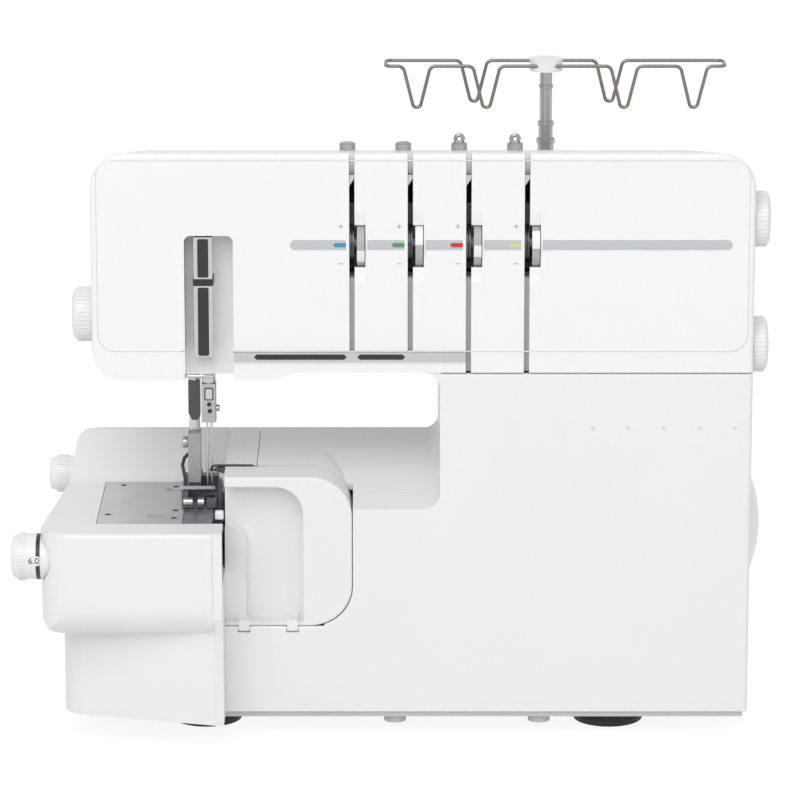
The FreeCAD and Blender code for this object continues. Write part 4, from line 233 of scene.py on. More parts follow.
# Below 213.5 mm the channel keeps its own grey; the near-black band from 215 to 256 mm and the rise above it
# are painted shade in the deep slots.
channel_grey_and_painted_shade = banded(
    finish("thread_channel_grey_and_painted_shade", MOULDED_SKIN, (1.0, 1.0, 1.0), 0.5, 0.05, 0.1),
    [(160.0, 0.40), (213.5, 0.42), (215.0, 0.012), (256.0, 0.012), (257.0, 0.2), (270.0, 0.62)],
)
lamp_plastic = finish("lamp_lens_plastic", MOULDED_SKIN, (0.92, 0.92, 0.9), 0.2, 0.05, 0.05, clear=0.55)
foot_rubber = finish("black_foot_rubber", RUBBER_GRAIN, (0.012, 0.012, 0.013), 0.72, 0.1, 0.4)
cast_metal = finish("cast_alloy", BLASTED_GRAIN, (0.50, 0.51, 0.52), 0.5, 0.1, 0.5, metallic=0.9)
plate_steel = finish("brushed_plate_steel", BRUSHED_LINES, (0.62, 0.62, 0.63), 0.42, 0.1, 0.25, metallic=0.75)
stitch_steel = finish("dark_stitch_steel", BRUSHED_LINES, (0.30, 0.31, 0.33), 0.38, 0.1, 0.25, metallic=0.8)
foot_steel = finish("dark_foot_steel", BLASTED_GRAIN, (0.13, 0.13, 0.14), 0.34, 0.1, 0.2, metallic=0.85)
satin_steel = finish("satin_clamp_steel", BLASTED_GRAIN, (0.50, 0.50, 0.51), 0.36, 0.08, 0.25, metallic=0.9)
ankle_steel = finish("blasted_ankle_steel", BLASTED_GRAIN, (0.40, 0.40, 0.41), 0.55, 0.08, 0.5, metallic=0.6)
blade_steel = finish("dark_blade_steel", BLASTED_GRAIN, (0.10, 0.10, 0.11), 0.35, 0.08, 0.2, metallic=0.9)
pole_steel = finish("pole_steel", TURNED_LINES, (0.43, 0.41, 0.39), 0.26, 0.08, 0.2, metallic=0.95)
wire_steel = finish("antenna_wire_steel", POLISHED_METAL, (0.25, 0.23, 0.21), 0.28, 0.06, 0.05, metallic=0.95)
chrome = finish("chrome_plate", POLISHED_METAL, (0.56, 0.56, 0.57), 0.14, 0.04, 0.04, metallic=1.0)
nut_chrome = finish("dark_nut_chrome", POLISHED_METAL, (0.40, 0.40, 0.41), 0.22, 0.05, 0.05, metallic=1.0)
print_grey = finish("stripe_print", MOULDED_SKIN, (0.545, 0.552, 0.57), 0.45, 0.05, 0.05)
mark_grey = finish("mark_print", MOULDED_SKIN, (0.28, 0.28, 0.29), 0.5, 0.05, 0.05)
# Charcoal is the own colour of the inlays, clamp screws and the dial's number, and is also painted shade in
# the holes, slits and screw slots.
charcoal = finish("charcoal_and_painted_hole_shade", BLASTED_GRAIN, (0.022, 0.021, 0.024), 0.55, 0.08, 0.3)
felt = finish("grey_felt", RUBBER_GRAIN, (0.25, 0.25, 0.26), 0.95, 0.04, 1.0)
PILL_COLOURS = {
    "left_needle": (0.055, 0.28, 0.43),
    "right_needle": (0.09, 0.30, 0.11),
    "upper_looper": (0.55, 0.035, 0.045),
    "lower_looper": (0.66, 0.63, 0.33),
}

FINISHES = [
    (white_arm, ["upper_front_cover", "upper_rear_cover", "face_panels"]),
    (white_base, ["base_front_cover", "base_rear_cover", "bed_end_cover", "looper_cover", "extension_table",
                  "spool_stand"]),
    (white_knob, ["handwheel", "antenna_hub", "cutting_width_dial", "differential_feed_dial",
                  "presser_pressure_dial", "stitch_length_dial", "stitch_mode_dial"]),
    (grey_plastic, [label + "_tension_wheel" for label in THREAD_NAMES] + ["cone_holders"]),
    (tray_plastic, ["base_tray", "tension_bracket"]),
    (black_plastic, ["power_inlet", "power_switch", "motor_pulley", "take_up_band"]),
    (channel_grey_and_painted_shade, ["thread_channels"]),
    (lamp_plastic, ["sewing_light"]),
    (foot_rubber, ["rubber_feet", "drive_belt"]),
    (cast_metal, ["machine_frame", "motor"]),
    (plate_steel, ["needle_plate", "needle_plate_screws"]),
    (stitch_steel, ["stitch_plate"]),
    (foot_steel, ["presser_foot"]),
    (satin_steel, ["needle_clamp", "needle_rocker", "presser_lifter", "main_shaft", "feed_dogs"]),
    (ankle_steel, ["presser_ankle"]),
    (blade_steel, ["upper_knife", "lower_knife", "upper_looper", "lower_looper", "tension_discs"]),
    (pole_steel, ["pole_base_tube", "pole_middle_tube", "pole_upper_rod"]),
    (wire_steel, ["antenna_wire"]),
    (nut_chrome, ["top_thread_guides"]),
    (chrome, ["take_up_guards", "face_thread_guides", "needle_bar", "presser_bar", "needles", "spool_pins"]),
]
for material, names in FINISHES:
    for name in names:
        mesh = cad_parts[name].data
        mesh.materials.clear()
        mesh.materials.append(material)


# Shapes, in millimetres, added to one bmesh.

EDGE_STEPS = 3
MERGE_WITHIN = 1e-7
SHARP_FROM = math.radians(35)
TURNED_STEPS = 64
SMALL_TURNED_STEPS = 24
COVE_SUNK = 0.4
# A heading that none of the wires runs along.
WIRE_SLANT = Vector((0.31, 0.17, 0.93))


def add_block(shape, low, high, round_by=0.0):
    """A box with its edges rounded."""
    size = Vector(high) - Vector(low)
    middle = (Vector(high) + Vector(low)) / 2
    placed = Matrix.Translation(middle * MM) @ Matrix.Diagonal((*(size * MM), 1.0))
    made = bmesh.ops.create_cube(shape, size=1.0, matrix=placed)
    if round_by:
        edges = {edge for vert in made["verts"] for edge in vert.link_edges}
        bmesh.ops.bevel(
            shape, geom=list(edges), offset=round_by * MM, segments=EDGE_STEPS, profile=0.5, affect="EDGES"
        )


def add_slab(shape, outline, place, span):
    """A flat outline carried along an axis: place turns (across, up, along) into a point."""
    join_rings(shape, [
        [shape.verts.new(Vector(place(across, up, along)) * MM) for across, up in outline] for along in span
    ])


def join_rings(shape, rings):
    """Skins a row of like rings of vertices and closes both ends."""
    shape.faces.new(rings[0])
    shape.faces.new(rings[-1][::-1])
    count = len(rings[0])
    for first, second in zip(rings, rings[1:]):
        for index in range(count):
            after = (index + 1) % count
            shape.faces.new((first[index], second[index], second[after], first[after]))


def add_turned(shape, profile, middle, axis, steps=TURNED_STEPS, hollow=False):
    """A turned solid: profile is (along, radius) from pole to pole, or round the section of a hollow ring."""
    rings = []
    for along, radius in profile:
        if radius <= 0:
            rings.append([shape.verts.new(turned_point(middle, axis, along, 0, 0) * MM)])
            continue
        rings.append([
            shape.verts.new(turned_point(middle, axis, along, radius, 2 * math.pi * step / steps) * MM)
            for step in range(steps)
        ])
    if hollow:
        rings.append(rings[0])
    for first, second in zip(rings, rings[1:]):
        for step in range(steps):
            after = (step + 1) % steps
            corners = []
            for ring, index in ((first, step), (first, after), (second, after), (second, step)):
                vert = ring[index % len(ring)]
                if vert not in corners:
                    corners.append(vert)
            shape.faces.new(corners)


def turned_point(middle, axis, along, radius, angle):
    """A point at a radius and an angle round an axis through the middle."""
    across, up = radius * math.cos(angle), radius * math.sin(angle)
    offsets = {"X": (along, across, up), "Y": (across, along, up), "Z": (across, up, along)}
    return Vector(middle) + Vector(offsets[axis])


def add_wire(shape, points, radius, sides=10):
    """A round wire through the points, with closed ends."""
    spots = [Vector(point) for point in points]
    rings = []
    for index, spot in enumerate(spots):
        before = spots[max(index - 1, 0)]
        after = spots[min(index + 1, len(spots) - 1)]
        heading = (after - before).normalized()
        side = heading.cross(WIRE_SLANT).normalized()
        lift = heading.cross(side)
        rings.append([
            shape.verts.new((spot + side * radius * math.cos(turn) + lift * radius * math.sin(turn)) * MM)
            for turn in (2 * math.pi * step / sides for step in range(sides))
        ])
    join_rings(shape, rings)


def add_cove(shape, line, across, up, radius, steps=8):
    """A hollow-curved fillet along an inside corner; across and up point from the corner into the open."""
    section = [(-COVE_SUNK, -COVE_SUNK), (radius, -COVE_SUNK)]
    for step in range(steps + 1):
        turn = math.pi / 2 * step / steps
        section.append((radius * (1 - math.sin(turn)), radius * (1 - math.cos(turn))))
    section.append((-COVE_SUNK, radius))
    rings = []
    for x, y, z in line:
        points = [Vector((x + across * out, y, z + up * rise)) for out, rise in section]
        rings.append([shape.verts.new(point * MM) for point in points])
    join_rings(shape, rings)


def rounded(left, low, right, high, radius, right_radius=None, steps=6):
    """Outline of a rectangle with round corners; right_radius is for the right end alone."""
    far = radius if right_radius is None else right_radius
    corners = ((right - far, high - far, 0, far), (left + radius, high - radius, 90, radius),
               (left + radius, low + radius, 180, radius), (right - far, low + far, 270, far))
    outline = []
    for across, up, start, size in corners:
        for step in range(steps + 1):
            angle = math.radians(start + 90 * step / steps)
            outline.append((across + size * math.cos(angle), up + size * math.sin(angle)))
    return outline


def on_front(across, up, along):
    """A flat outline on the front, carried along Y."""
    return (across, along, up)


def on_side(across, up, along):
    """A flat outline seen from the side, carried along X."""
    return (along, across, up)


def linked(name, data):
    """A new object in the scene."""
    item = bpy.data.objects.new(name, data)
    bpy.context.scene.collection.objects.link(item)
    return item


def finished(name, shape, body, material, smooth=True):
    """Turns the bmesh into a piece that rides on a body."""
    bmesh.ops.remove_doubles(shape, verts=shape.verts, dist=MERGE_WITHIN)
    bmesh.ops.recalc_face_normals(shape, faces=shape.faces)
    mesh = bpy.data.meshes.new(name)
    shape.to_mesh(mesh)
    shape.free()
    mesh.materials.append(material)
    item = linked(name, mesh)
    if smooth:
        mesh.shade_smooth()
        mesh.set_sharp_from_angle(angle=SHARP_FROM)
    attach(item, body)
    return item


# Geometry Nodes: ribs round a rim, and heads or slits in rows.

def modelling_tree(name, inputs):
    """An empty Geometry Nodes tree with named inputs; returns the tree, its entry and its leave node."""
    tree = bpy.data.node_groups.new(name, "GeometryNodeTree")
    tree.interface.new_socket("Geometry", in_out="INPUT", socket_type="NodeSocketGeometry")
    for label, kind in inputs:
        tree.interface.new_socket(label, in_out="INPUT", socket_type=kind)
    tree.interface.new_socket("Geometry", in_out="OUTPUT", socket_type="NodeSocketGeometry")
    return tree, tree.nodes.new("NodeGroupInput"), tree.nodes.new("NodeGroupOutput")


def rim_rib_tree():
    """Copies of a bar round a circle, each turned to face outward."""
    tree, entry, leave = modelling_tree(
        "rim_ribs",
        [
            ("Ribs", "NodeSocketInt"),
            ("Rim radius", "NodeSocketFloat"),
            ("Rib size", "NodeSocketVector"),
            ("Middle", "NodeSocketVector"),
            ("Turn", "NodeSocketRotation"),
            ("Finish", "NodeSocketMaterial"),
        ],
    )
    ring = tree.nodes.new("GeometryNodeMeshCircle")
    tree.links.new(entry.outputs["Ribs"], ring.inputs["Vertices"])
    tree.links.new(entry.outputs["Rim radius"], ring.inputs["Radius"])
    rib = tree.nodes.new("GeometryNodeMeshCube")
    tree.links.new(entry.outputs["Rib size"], rib.inputs["Size"])
    where = tree.nodes.new("GeometryNodeInputPosition")
    facing = tree.nodes.new("FunctionNodeAlignRotationToVector")
    facing.axis = "X"
    facing.pivot_axis = "Z"
    tree.links.new(where.outputs["Position"], facing.inputs["Vector"])
    copies = tree.nodes.new("GeometryNodeInstanceOnPoints")
    tree.links.new(ring.outputs["Mesh"], copies.inputs["Points"])
    tree.links.new(rib.outputs["Mesh"], copies.inputs["Instance"])
    tree.links.new(facing.outputs["Rotation"], copies.inputs["Rotation"])
    close_tree(tree, entry, leave, copies.outputs["Instances"])
    return tree


def row_tree():
    """Copies of a round or many-sided head on each vertex of the carrier mesh."""
    tree, entry, leave = modelling_tree(
        "heads_in_rows",
        [
            ("Radius", "NodeSocketFloat"),
            ("Depth", "NodeSocketFloat"),
            ("Sides", "NodeSocketInt"),
            ("Stretch", "NodeSocketVector"),
            ("Face turn", "NodeSocketRotation"),
            ("Middle", "NodeSocketVector"),
            ("Turn", "NodeSocketRotation"),
            ("Finish", "NodeSocketMaterial"),
        ],
    )
    head = tree.nodes.new("GeometryNodeMeshCylinder")
    tree.links.new(entry.outputs["Sides"], head.inputs["Vertices"])
    tree.links.new(entry.outputs["Radius"], head.inputs["Radius"])
    tree.links.new(entry.outputs["Depth"], head.inputs["Depth"])
    copies = tree.nodes.new("GeometryNodeInstanceOnPoints")
    tree.links.new(entry.outputs["Geometry"], copies.inputs["Points"])
    tree.links.new(head.outputs["Mesh"], copies.inputs["Instance"])
    tree.links.new(entry.outputs["Stretch"], copies.inputs["Scale"])
    tree.links.new(entry.outputs["Face turn"], copies.inputs["Rotation"])
    close_tree(tree, entry, leave, copies.outputs["Instances"])
    return tree


def close_tree(tree, entry, leave, instances):
    """Realizes the copies, puts them in place and gives them their finish."""
    whole = tree.nodes.new("GeometryNodeRealizeInstances")
    tree.links.new(instances, whole.inputs["Geometry"])
    put = tree.nodes.new("GeometryNodeTransform")
    tree.links.new(whole.outputs["Geometry"], put.inputs["Geometry"])
    tree.links.new(entry.outputs["Middle"], put.inputs["Translation"])
    tree.links.new(entry.outputs["Turn"], put.inputs["Rotation"])
    coat = tree.nodes.new("GeometryNodeSetMaterial")
    tree.links.new(put.outputs["Geometry"], coat.inputs["Geometry"])
    tree.links.new(entry.outputs["Finish"], coat.inputs["Material"])
    tree.links.new(coat.outputs["Geometry"], leave.inputs["Geometry"])


RIM_RIBS = rim_rib_tree()
HEADS_IN_ROWS = row_tree()


def grown(name, tree, values, body, spots=((0, 0, 0),)):
    """Runs a tree on a carrier of loose vertices and keeps its result as a plain mesh."""
    carrier = bpy.data.meshes.new(name + "_carrier")
    carrier.from_pydata([Vector(spot) * MM for spot in spots], [], [])
    item = linked(name, carrier)
    modifier = item.modifiers.new("grown", "NODES")
    modifier.node_group = tree
    for socket in tree.interface.items_tree:
        if socket.in_out == "INPUT" and socket.name in values:
            modifier[socket.identifier] = values[socket.name]
    graph = bpy.context.evaluated_depsgraph_get()
    mesh = bpy.data.meshes.new_from_object(item.evaluated_get(graph))
    item.modifiers.remove(modifier)
    mesh.name = name
    item.data = mesh
    bpy.data.meshes.remove(carrier)
    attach(item, body)
    return item


def rib_ring(name, middle, radius, count, size, body, material):
    """Ribs round a rim whose axis is X; size is (radial, round the rim, along the axis)."""
    return grown(
        name,
        RIM_RIBS,
        {
            "Ribs": count,
            "Rim radius": radius * MM,
            "Rib size": tuple(side * MM for side in size),
            "Middle": tuple(Vector(middle) * MM),
            "Turn": (0.0, math.pi / 2, 0.0),
            "Finish": material,
        },
        body,
    )


def heads(name, spots, radius, depth, sides, stretch, face_turn, body, slot, material):
    """One head on each spot; stretch and face_turn shape and turn every head."""
    return grown(
        name,
        HEADS_IN_ROWS,
        {
            "Radius": radius * MM,
            "Depth": depth * MM,
            "Sides": sides,
            "Stretch": stretch,
            "Face turn": face_turn,
            "Middle": (0.0, 0.0, 0.0),
            "Turn": (0.0, 0.0, 0.0),
            "Finish": material,
        },
        body,
        spots,
    )


FACING_FRONT = (math.pi / 2, 0.0, 0.0)
FACING_UP = (0.0, 0.0, 0.0)
EVEN = (1.0, 1.0, 1.0)


# Printing on the face: the grey stripe, the four thread colours, plus and minus marks.

PRINT = (ARM_FRONT - 0.06, ARM_FRONT + 0.1)
STRIPE_Z = (227.0, 231.6)
STRIPE_ENDS = (-46.7, 150.3)
STRIPE_END_RADIUS = 2.29
STRIPE_CORNER = 0.5
MARGIN_LEFT = 2.6
MARGIN_RIGHT = 6.9
PILL_REACH = 8.5
PILL_Z = (228.3, 230.3)
PILL_TIP = 1.0
PILL_CORNER = 0.4
PILL_PROUD = 0.05
MARK_OFFSET = 4.9
MARK_HALF = 1.15
MARK_LINE = 0.15
PLUS_Z = 237.7
MINUS_Z = 220.8


def add_pill(shape, left, right):
    """A colour pill with a point at its left end."""
    low, high = PILL_Z
    outline = [(left, (low + high) / 2), (left + PILL_TIP, low), (right - PILL_CORNER, low),
               (right, low + PILL_CORNER), (right, high - PILL_CORNER), (right - PILL_CORNER, high),
               (left + PILL_TIP, high)]
    add_slab(shape, outline, on_front, (PRINT[0] - PILL_PROUD, PRINT[1]))


def add_mark(shape, across, up, half_width, half_height):
    """A thin printed bar round its middle."""
    low = (across - half_width, PRINT[0], up - half_height)
    add_block(shape, low, (across + half_width, PRINT[1], up + half_height))


def face_printing():
    stripe = bmesh.new()
    starts = [STRIPE_ENDS[0]] + [slot + MARGIN_RIGHT for slot in SLOTS]
    stops = [slot - MARGIN_LEFT for slot in SLOTS] + [STRIPE_ENDS[1]]
    radii = [STRIPE_END_RADIUS] + [STRIPE_CORNER] * len(SLOTS)
    for start, stop, left, right in zip(starts, stops, radii, radii[::-1]):
        add_slab(stripe, rounded(start, STRIPE_Z[0], stop, STRIPE_Z[1], left, right), on_front, PRINT)
    finished("face_stripe", stripe, "machine", print_grey)
    marks = bmesh.new()
    upright = (MARK_HALF - MARK_LINE) / 2
    for slot, label in zip(SLOTS, THREAD_NAMES):
        pill = bmesh.new()
        add_pill(pill, slot - PILL_REACH, slot - MARGIN_LEFT)
        colour = finish(label + "_pill_print", MOULDED_SKIN, PILL_COLOURS[label], 0.45, 0.05, 0.05)
        finished(label + "_pill", pill, "machine", colour)
        middle = slot - MARK_OFFSET
        add_mark(marks, middle, PLUS_Z, MARK_HALF, MARK_LINE)
        for side in (1, -1):
            add_mark(marks, middle, PLUS_Z + side * (MARK_LINE + upright), MARK_LINE, upright)
        add_mark(marks, middle, MINUS_Z, MARK_HALF, MARK_LINE)
    finished("plus_and_minus_marks", marks, "machine", mark_grey, smooth=False)


face_printing()


# Dials: a stem, a smooth collar, a ribbed rim and a domed end.

STEM_RADIUS = 2.9
WALL_GAP = 0.3
COLLAR_EASE = 0.02
RIB_BED = 0.45
RIB_LIFT = 0.12
RIB_SECTION = (0.66, 0.62)
RIBS_AFTER_COLLAR = 0.03
RIBS_END = 0.75
SHOULDER = 0.76
EDGE_AT = 0.87
EDGE_DROP = 0.8
# Share of the reach, share of the radius.
DOME = ((0.94, 0.82), (0.98, 0.64), (1.0, 0.40), (1.0, 0.0))
CUTTING_AXIS = (-123.4, 89.9)
CUTTING_WALL = -158.2
CUTTING_RADIUS = 10.8
CUTTING_COLLAR = 0.95
FEED_WALL = -146.0
# Node, body, axis (Y, Z), wall, radius, ribs, the collar's share of the reach and of the radius, trim.
DIALS = (
    ("presser_pressure_dial", "dial_pressure", (-85.0, 192.8), ARM_LEFT, 12.5, 40, 0.10, 0.95, 1.0),
    ("stitch_length_dial", "dial_stitch_length", (-92.0, 238.0), ARM_RIGHT, 12.6, 40, 0.10, 0.95, 4.3),
    ("stitch_mode_dial", "dial_mode", (-92.0, 180.5), ARM_RIGHT, 12.6, 40, 0.10, 0.95, 4.3),
    ("cutting_width_dial", "dial_cutting_width", CUTTING_AXIS, CUTTING_WALL, CUTTING_RADIUS, 46, 0.50,
     CUTTING_COLLAR, 0.0),
    ("differential_feed_dial", "dial_feed", (-27.9, 103.1), FEED_WALL, 8.8, 40, 0.40, 0.93, 0.0),
)


def knob(node, body, axis, wall, radius, ribs, collar, collar_radius, trim):
    """The knob that stands for a dial's solid; trim is what it ends short of that solid."""
    low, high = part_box(node)
    outward = -1.0 if wall < 0 else 1.0
    outer, inner = (low[0] / MM, high[0] / MM) if outward < 0 else (high[0] / MM, low[0] / MM)
    reach = abs(outer - wall) - trim
    stem = abs(inner - wall)
    rim = radius - RIB_BED
    profile = [
        (-stem, 0.0), (-stem, STEM_RADIUS), (WALL_GAP, STEM_RADIUS), (WALL_GAP, radius * collar_radius),
        (reach * (collar - COLLAR_EASE), radius * collar_radius), (reach * (collar + COLLAR_EASE), rim),
        (reach * SHOULDER, rim), (reach * EDGE_AT, rim - EDGE_DROP),
    ]
    profile += [(reach * along, radius * share) for along, share in DOME]
    shape = bmesh.new()
    add_turned(shape, [(along * outward, size) for along, size in profile], (wall, *axis), "X")
    piece = finished(node + "_knob", shape, body, white_knob)
    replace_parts(piece, node)
    ribs_start = collar + RIBS_AFTER_COLLAR
    ribs_middle = (wall + outward * reach * (ribs_start + RIBS_END) / 2, *axis)
    rib_size = (*RIB_SECTION, reach * (RIBS_END - ribs_start))
    rib_ring(node + "_ribs", ribs_middle, rim + RIB_LIFT, ribs, rib_size, body, white_knob)


for dial in DIALS:
    knob(*dial)


# Marks of the cutting width dial: a boss in the wall's opening, a black ring, a number on a white tag.

BOSS_DEPTH = 8.0
BOSS_BEVEL = (0.5, 0.4)
BOSS_BORE = 3.0
RING_X = (-0.6, -2.3)
RING_BORE = 6.0
RING_PROUD = 0.12
TAG_OFFSET = (-3.2, 0.6)
TAG_HALF = (2.7, 2.2)
TAG_CORNER = 1.0
TAG_PROUD = 0.2
TAG_THICKNESS = 0.7
NUMBER = "6.0"
NUMBER_HEIGHT = 4.1
NUMBER_RAISED = 0.06


def number_mesh(spot):
    """The dial's number, facing the front, round a spot."""
    words = bpy.data.curves.new("cutting_dial_number", "FONT")
    words.body = NUMBER
    words.size = NUMBER_HEIGHT * MM
    words.extrude = NUMBER_RAISED * MM
    words.align_x = "CENTER"
    words.align_y = "CENTER"
    carrier = linked("cutting_dial_text", words)
    flat = bpy.data.meshes.new_from_object(carrier.evaluated_get(bpy.context.evaluated_depsgraph_get()))
    bpy.data.objects.remove(carrier)
    flat.transform(Matrix.Translation(Vector(spot) * MM) @ Matrix.Rotation(math.pi / 2, 4, "X"))
    number = bmesh.new()
    number.from_mesh(flat)
    bpy.data.meshes.remove(flat)
    return number


def cutting_dial_marks():
    body = "dial_cutting_width"
    middle = (CUTTING_WALL, *CUTTING_AXIS)
    band = CUTTING_RADIUS * CUTTING_COLLAR
    boss = bmesh.new()
    section = [(BOSS_DEPTH, BOSS_BORE), (BOSS_DEPTH, band - BOSS_BEVEL[1]),
               (BOSS_DEPTH - BOSS_BEVEL[0], band), (RING_X[0], band), (RING_X[0], BOSS_BORE)]
    add_turned(boss, section, middle, "X", hollow=True)
    finished("cutting_dial_boss", boss, body, white_knob)
    ring = bmesh.new()
    outside = band + RING_PROUD
    section = [(RING_X[0], RING_BORE), (RING_X[0], outside), (RING_X[1], outside), (RING_X[1], RING_BORE)]
    add_turned(ring, section, middle, "X", hollow=True)
    finished("cutting_dial_ring", ring, body, black_plastic)
    tag = bmesh.new()
    across, up = CUTTING_WALL + TAG_OFFSET[0], CUTTING_AXIS[1] + TAG_OFFSET[1]
    wide, tall = TAG_HALF
    outline = rounded(across - wide, up - tall, across + wide, up + tall, TAG_CORNER)
    tag_front = CUTTING_AXIS[0] - band - TAG_PROUD
    add_slab(tag, outline, on_front, (tag_front, tag_front + TAG_THICKNESS))
    finished("cutting_dial_tag", tag, body, white_knob)
    number = number_mesh((across, tag_front, up))
    finished("cutting_dial_number", number, body, charcoal, smooth=False)


cutting_dial_marks()


# Tension wheels: a white raised wedge on each rim and fine ribs.

# Middle and half spread of each wedge, in degrees up from the front.
WEDGES = {
    "left_needle": (-21.5, 14.5),
    "right_needle": (29.0, 23.0),
    "upper_looper": (-8.5, 13.5),
    "lower_looper": (18.0, 20.0),
}
WEDGE_PROUD = 0.35
WEDGE_SUNK = 1.2
WEDGE_SIDE = 0.05
WHEEL_RIBS = 90
WHEEL_RIB_SECTION = (0.18, 0.3)
WHEEL_RIB_SHORT = 0.5


def rim_arc(reach, middle, spread, steps=8):
    """Points on an arc round the tension axis, seen from the side."""
    angles = [math.radians(180 - middle - spread + 2 * spread * step / steps) for step in range(steps + 1)]
    along, up = TENSION_AXIS
    return [(along + reach * math.cos(angle), up + reach * math.sin(angle)) for angle in angles]


def tension_trim():
    for label in THREAD_NAMES:
        body = "tension_" + label
        node = label + "_tension_wheel"
        low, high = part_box(node)
        left, right = low[0] / MM, high[0] / MM
        radius = (high[2] - low[2]) / MM / 2
        wedge = bmesh.new()
        outline = rim_arc(radius + WEDGE_PROUD, *WEDGES[label])
        outline += rim_arc(radius - WEDGE_SUNK, *WEDGES[label])[::-1]
        add_slab(wedge, outline, on_side, (left - WEDGE_SIDE, right + WEDGE_SIDE))
        finished(label + "_wheel_wedge", wedge, body, white_knob)
        middle = ((left + right) / 2, *TENSION_AXIS)
        rib_size = (*WHEEL_RIB_SECTION, right - left - WHEEL_RIB_SHORT)
        name = label + "_wheel_ribs"
        rib_ring(name, middle, radius, WHEEL_RIBS, rib_size, body, grey_plastic)


tension_trim()


# Trim on the face: slot linings with shade painted down their depth, rail and guard inlays, the wire under
# the recess.

LINER_HALF = 1.15
LINER_Y = (ARM_FRONT + 1.0, ARM_FRONT + 2.5)
LINER_Z = (261.2, 270.3)
LINER_EDGE = 0.3
RAIL_Y = (-109.45, -109.2)
RAIL_Z = (177.2, 179.6)
RAIL_TIP = 1.2
RAIL_INLAYS = ((-63.0, -21.5), (-16.8, 4.6))
GUARD_Y = (-106.7, -106.4)
GUARD_X = (-88.0, -83.1)
GUARD_CORNER = 0.8
GUARD_INLAYS = ((214.2, 231.7), (178.4, 209.6))
RECESS_WIRE = ((-93.7, -107.2), (-93.4, -108.4), (-92.6, -108.9), (-82.7, -108.9), (-81.9, -108.4),
               (-81.6, -107.2))
RECESS_WIRE_Z = 169.5
RECESS_WIRE_RADIUS = 0.9


def pointed(left, low, right, high, tip):
    """Outline of a bar with pointed ends."""
    middle = (low + high) / 2
    return [(left, middle), (left + tip, low), (right - tip, low), (right, middle), (right - tip, high),
            (left + tip, high)]


def face_trim():
    liners = bmesh.new()
    for slot in SLOTS:
        low = (slot - LINER_HALF, LINER_Y[0], LINER_Z[0])
        add_block(liners, low, (slot + LINER_HALF, LINER_Y[1], LINER_Z[1]), LINER_EDGE)
    finished("slot_liners", liners, "machine", slot_liner_painted_shade)
    inlays = bmesh.new()
    for left, right in RAIL_INLAYS:
        add_slab(inlays, pointed(left, RAIL_Z[0], right, RAIL_Z[1], RAIL_TIP), on_front, RAIL_Y)
    for low, high in GUARD_INLAYS:
        add_slab(inlays, rounded(GUARD_X[0], low, GUARD_X[1], high, GUARD_CORNER), on_front, GUARD_Y)
    finished("face_inlays", inlays, "machine", charcoal)
    wire = bmesh.new()
    add_wire(wire, [(x, y, RECESS_WIRE_Z) for x, y in RECESS_WIRE], RECESS_WIRE_RADIUS)
    finished("recess_wire_guide", wire, "machine", chrome)


face_trim()


# A shallow bead in the seam round the face panels, left open at the recess.

SEAM_HALF = 0.175
SEAM_DEPTH = 0.55
BEAD_OVERLAP = 0.05
BEAD_SIDES = 8
PANEL_MARGIN = 2.6
PANEL_Z = (180.4, 267.6)
PANEL_CORNER = 8.0
RECESS_ENDS = (-95.5, -71.5)


def panel_seam():
    inset = PANEL_MARGIN + SEAM_HALF
    outline = rounded(ARM_LEFT + inset, PANEL_Z[0] + SEAM_HALF, ARM_RIGHT - inset, PANEL_Z[1] - SEAM_HALF,
                      PANEL_CORNER - SEAM_HALF)
    last_corner = 3 * len(outline) // 4
    level = outline[last_corner][1]
    line = [(RECESS_ENDS[1], level)]
    line += outline[last_corner:] + outline[:last_corner]
    line.append((RECESS_ENDS[0], level))
    bead = bmesh.new()
    route = [(across, ARM_FRONT + SEAM_DEPTH, up) for across, up in line]
    add_wire(bead, route, SEAM_HALF + BEAD_OVERLAP, BEAD_SIDES)
    finished("panel_seam_bead", bead, "machine", white_arm)


panel_seam()


# Top of the arm: a soft crown, and hexagon nuts of which two have an eyelet.

# (Y, Z) along the crown's foot, its rise over each of them, then (X, share of the rise).
CROWN_FOOT = ((-88.0, 266.3), (-74.0, 263.0), (-60.0, 260.8), (-44.0, 258.0), (-30.0, 255.0))
CROWN_RISE = (0.0, 1.5, 2.3, 1.6, 0.0)
CROWN_SPAN = ((-126.0, 0.05), (-120.0, 0.6), (-110.0, 1.0), (130.0, 1.0), (144.0, 0.6), (151.0, 0.05))
CROWN_SUNK = 1.2
TOP_GUIDES = (-21.5, 3.8, 29.1, 54.4)
TOP_GUIDE_Y = -60.0
NUT_PROFILE = ((0.0, 0.0), (0.0, 3.6), (5.4, 3.6), (6.0, 3.0), (6.0, 0.0))
NUT_SIDES = 6
EYELET_GUIDES = TOP_GUIDES[2:]
EYELET_RADIUS = 1.75
EYELET_RISE = 7.6
EYELET_WIRE = 0.95
EYELET_TURNS = range(-70, 251, 20)


def arm_crown():
    shape = bmesh.new()
    rings = []
    for across, share in CROWN_SPAN:
        top = [(across, y, z + rise * share) for (y, z), rise in zip(CROWN_FOOT, CROWN_RISE)]
        under = [(across, y, z - CROWN_SUNK) for y, z in CROWN_FOOT[::-1]]
        rings.append([shape.verts.new(Vector(point) * MM) for point in top + under])
    join_rings(shape, rings)
    item = finished("arm_crown", shape, "machine", white_arm)
    item.data.shade_smooth()


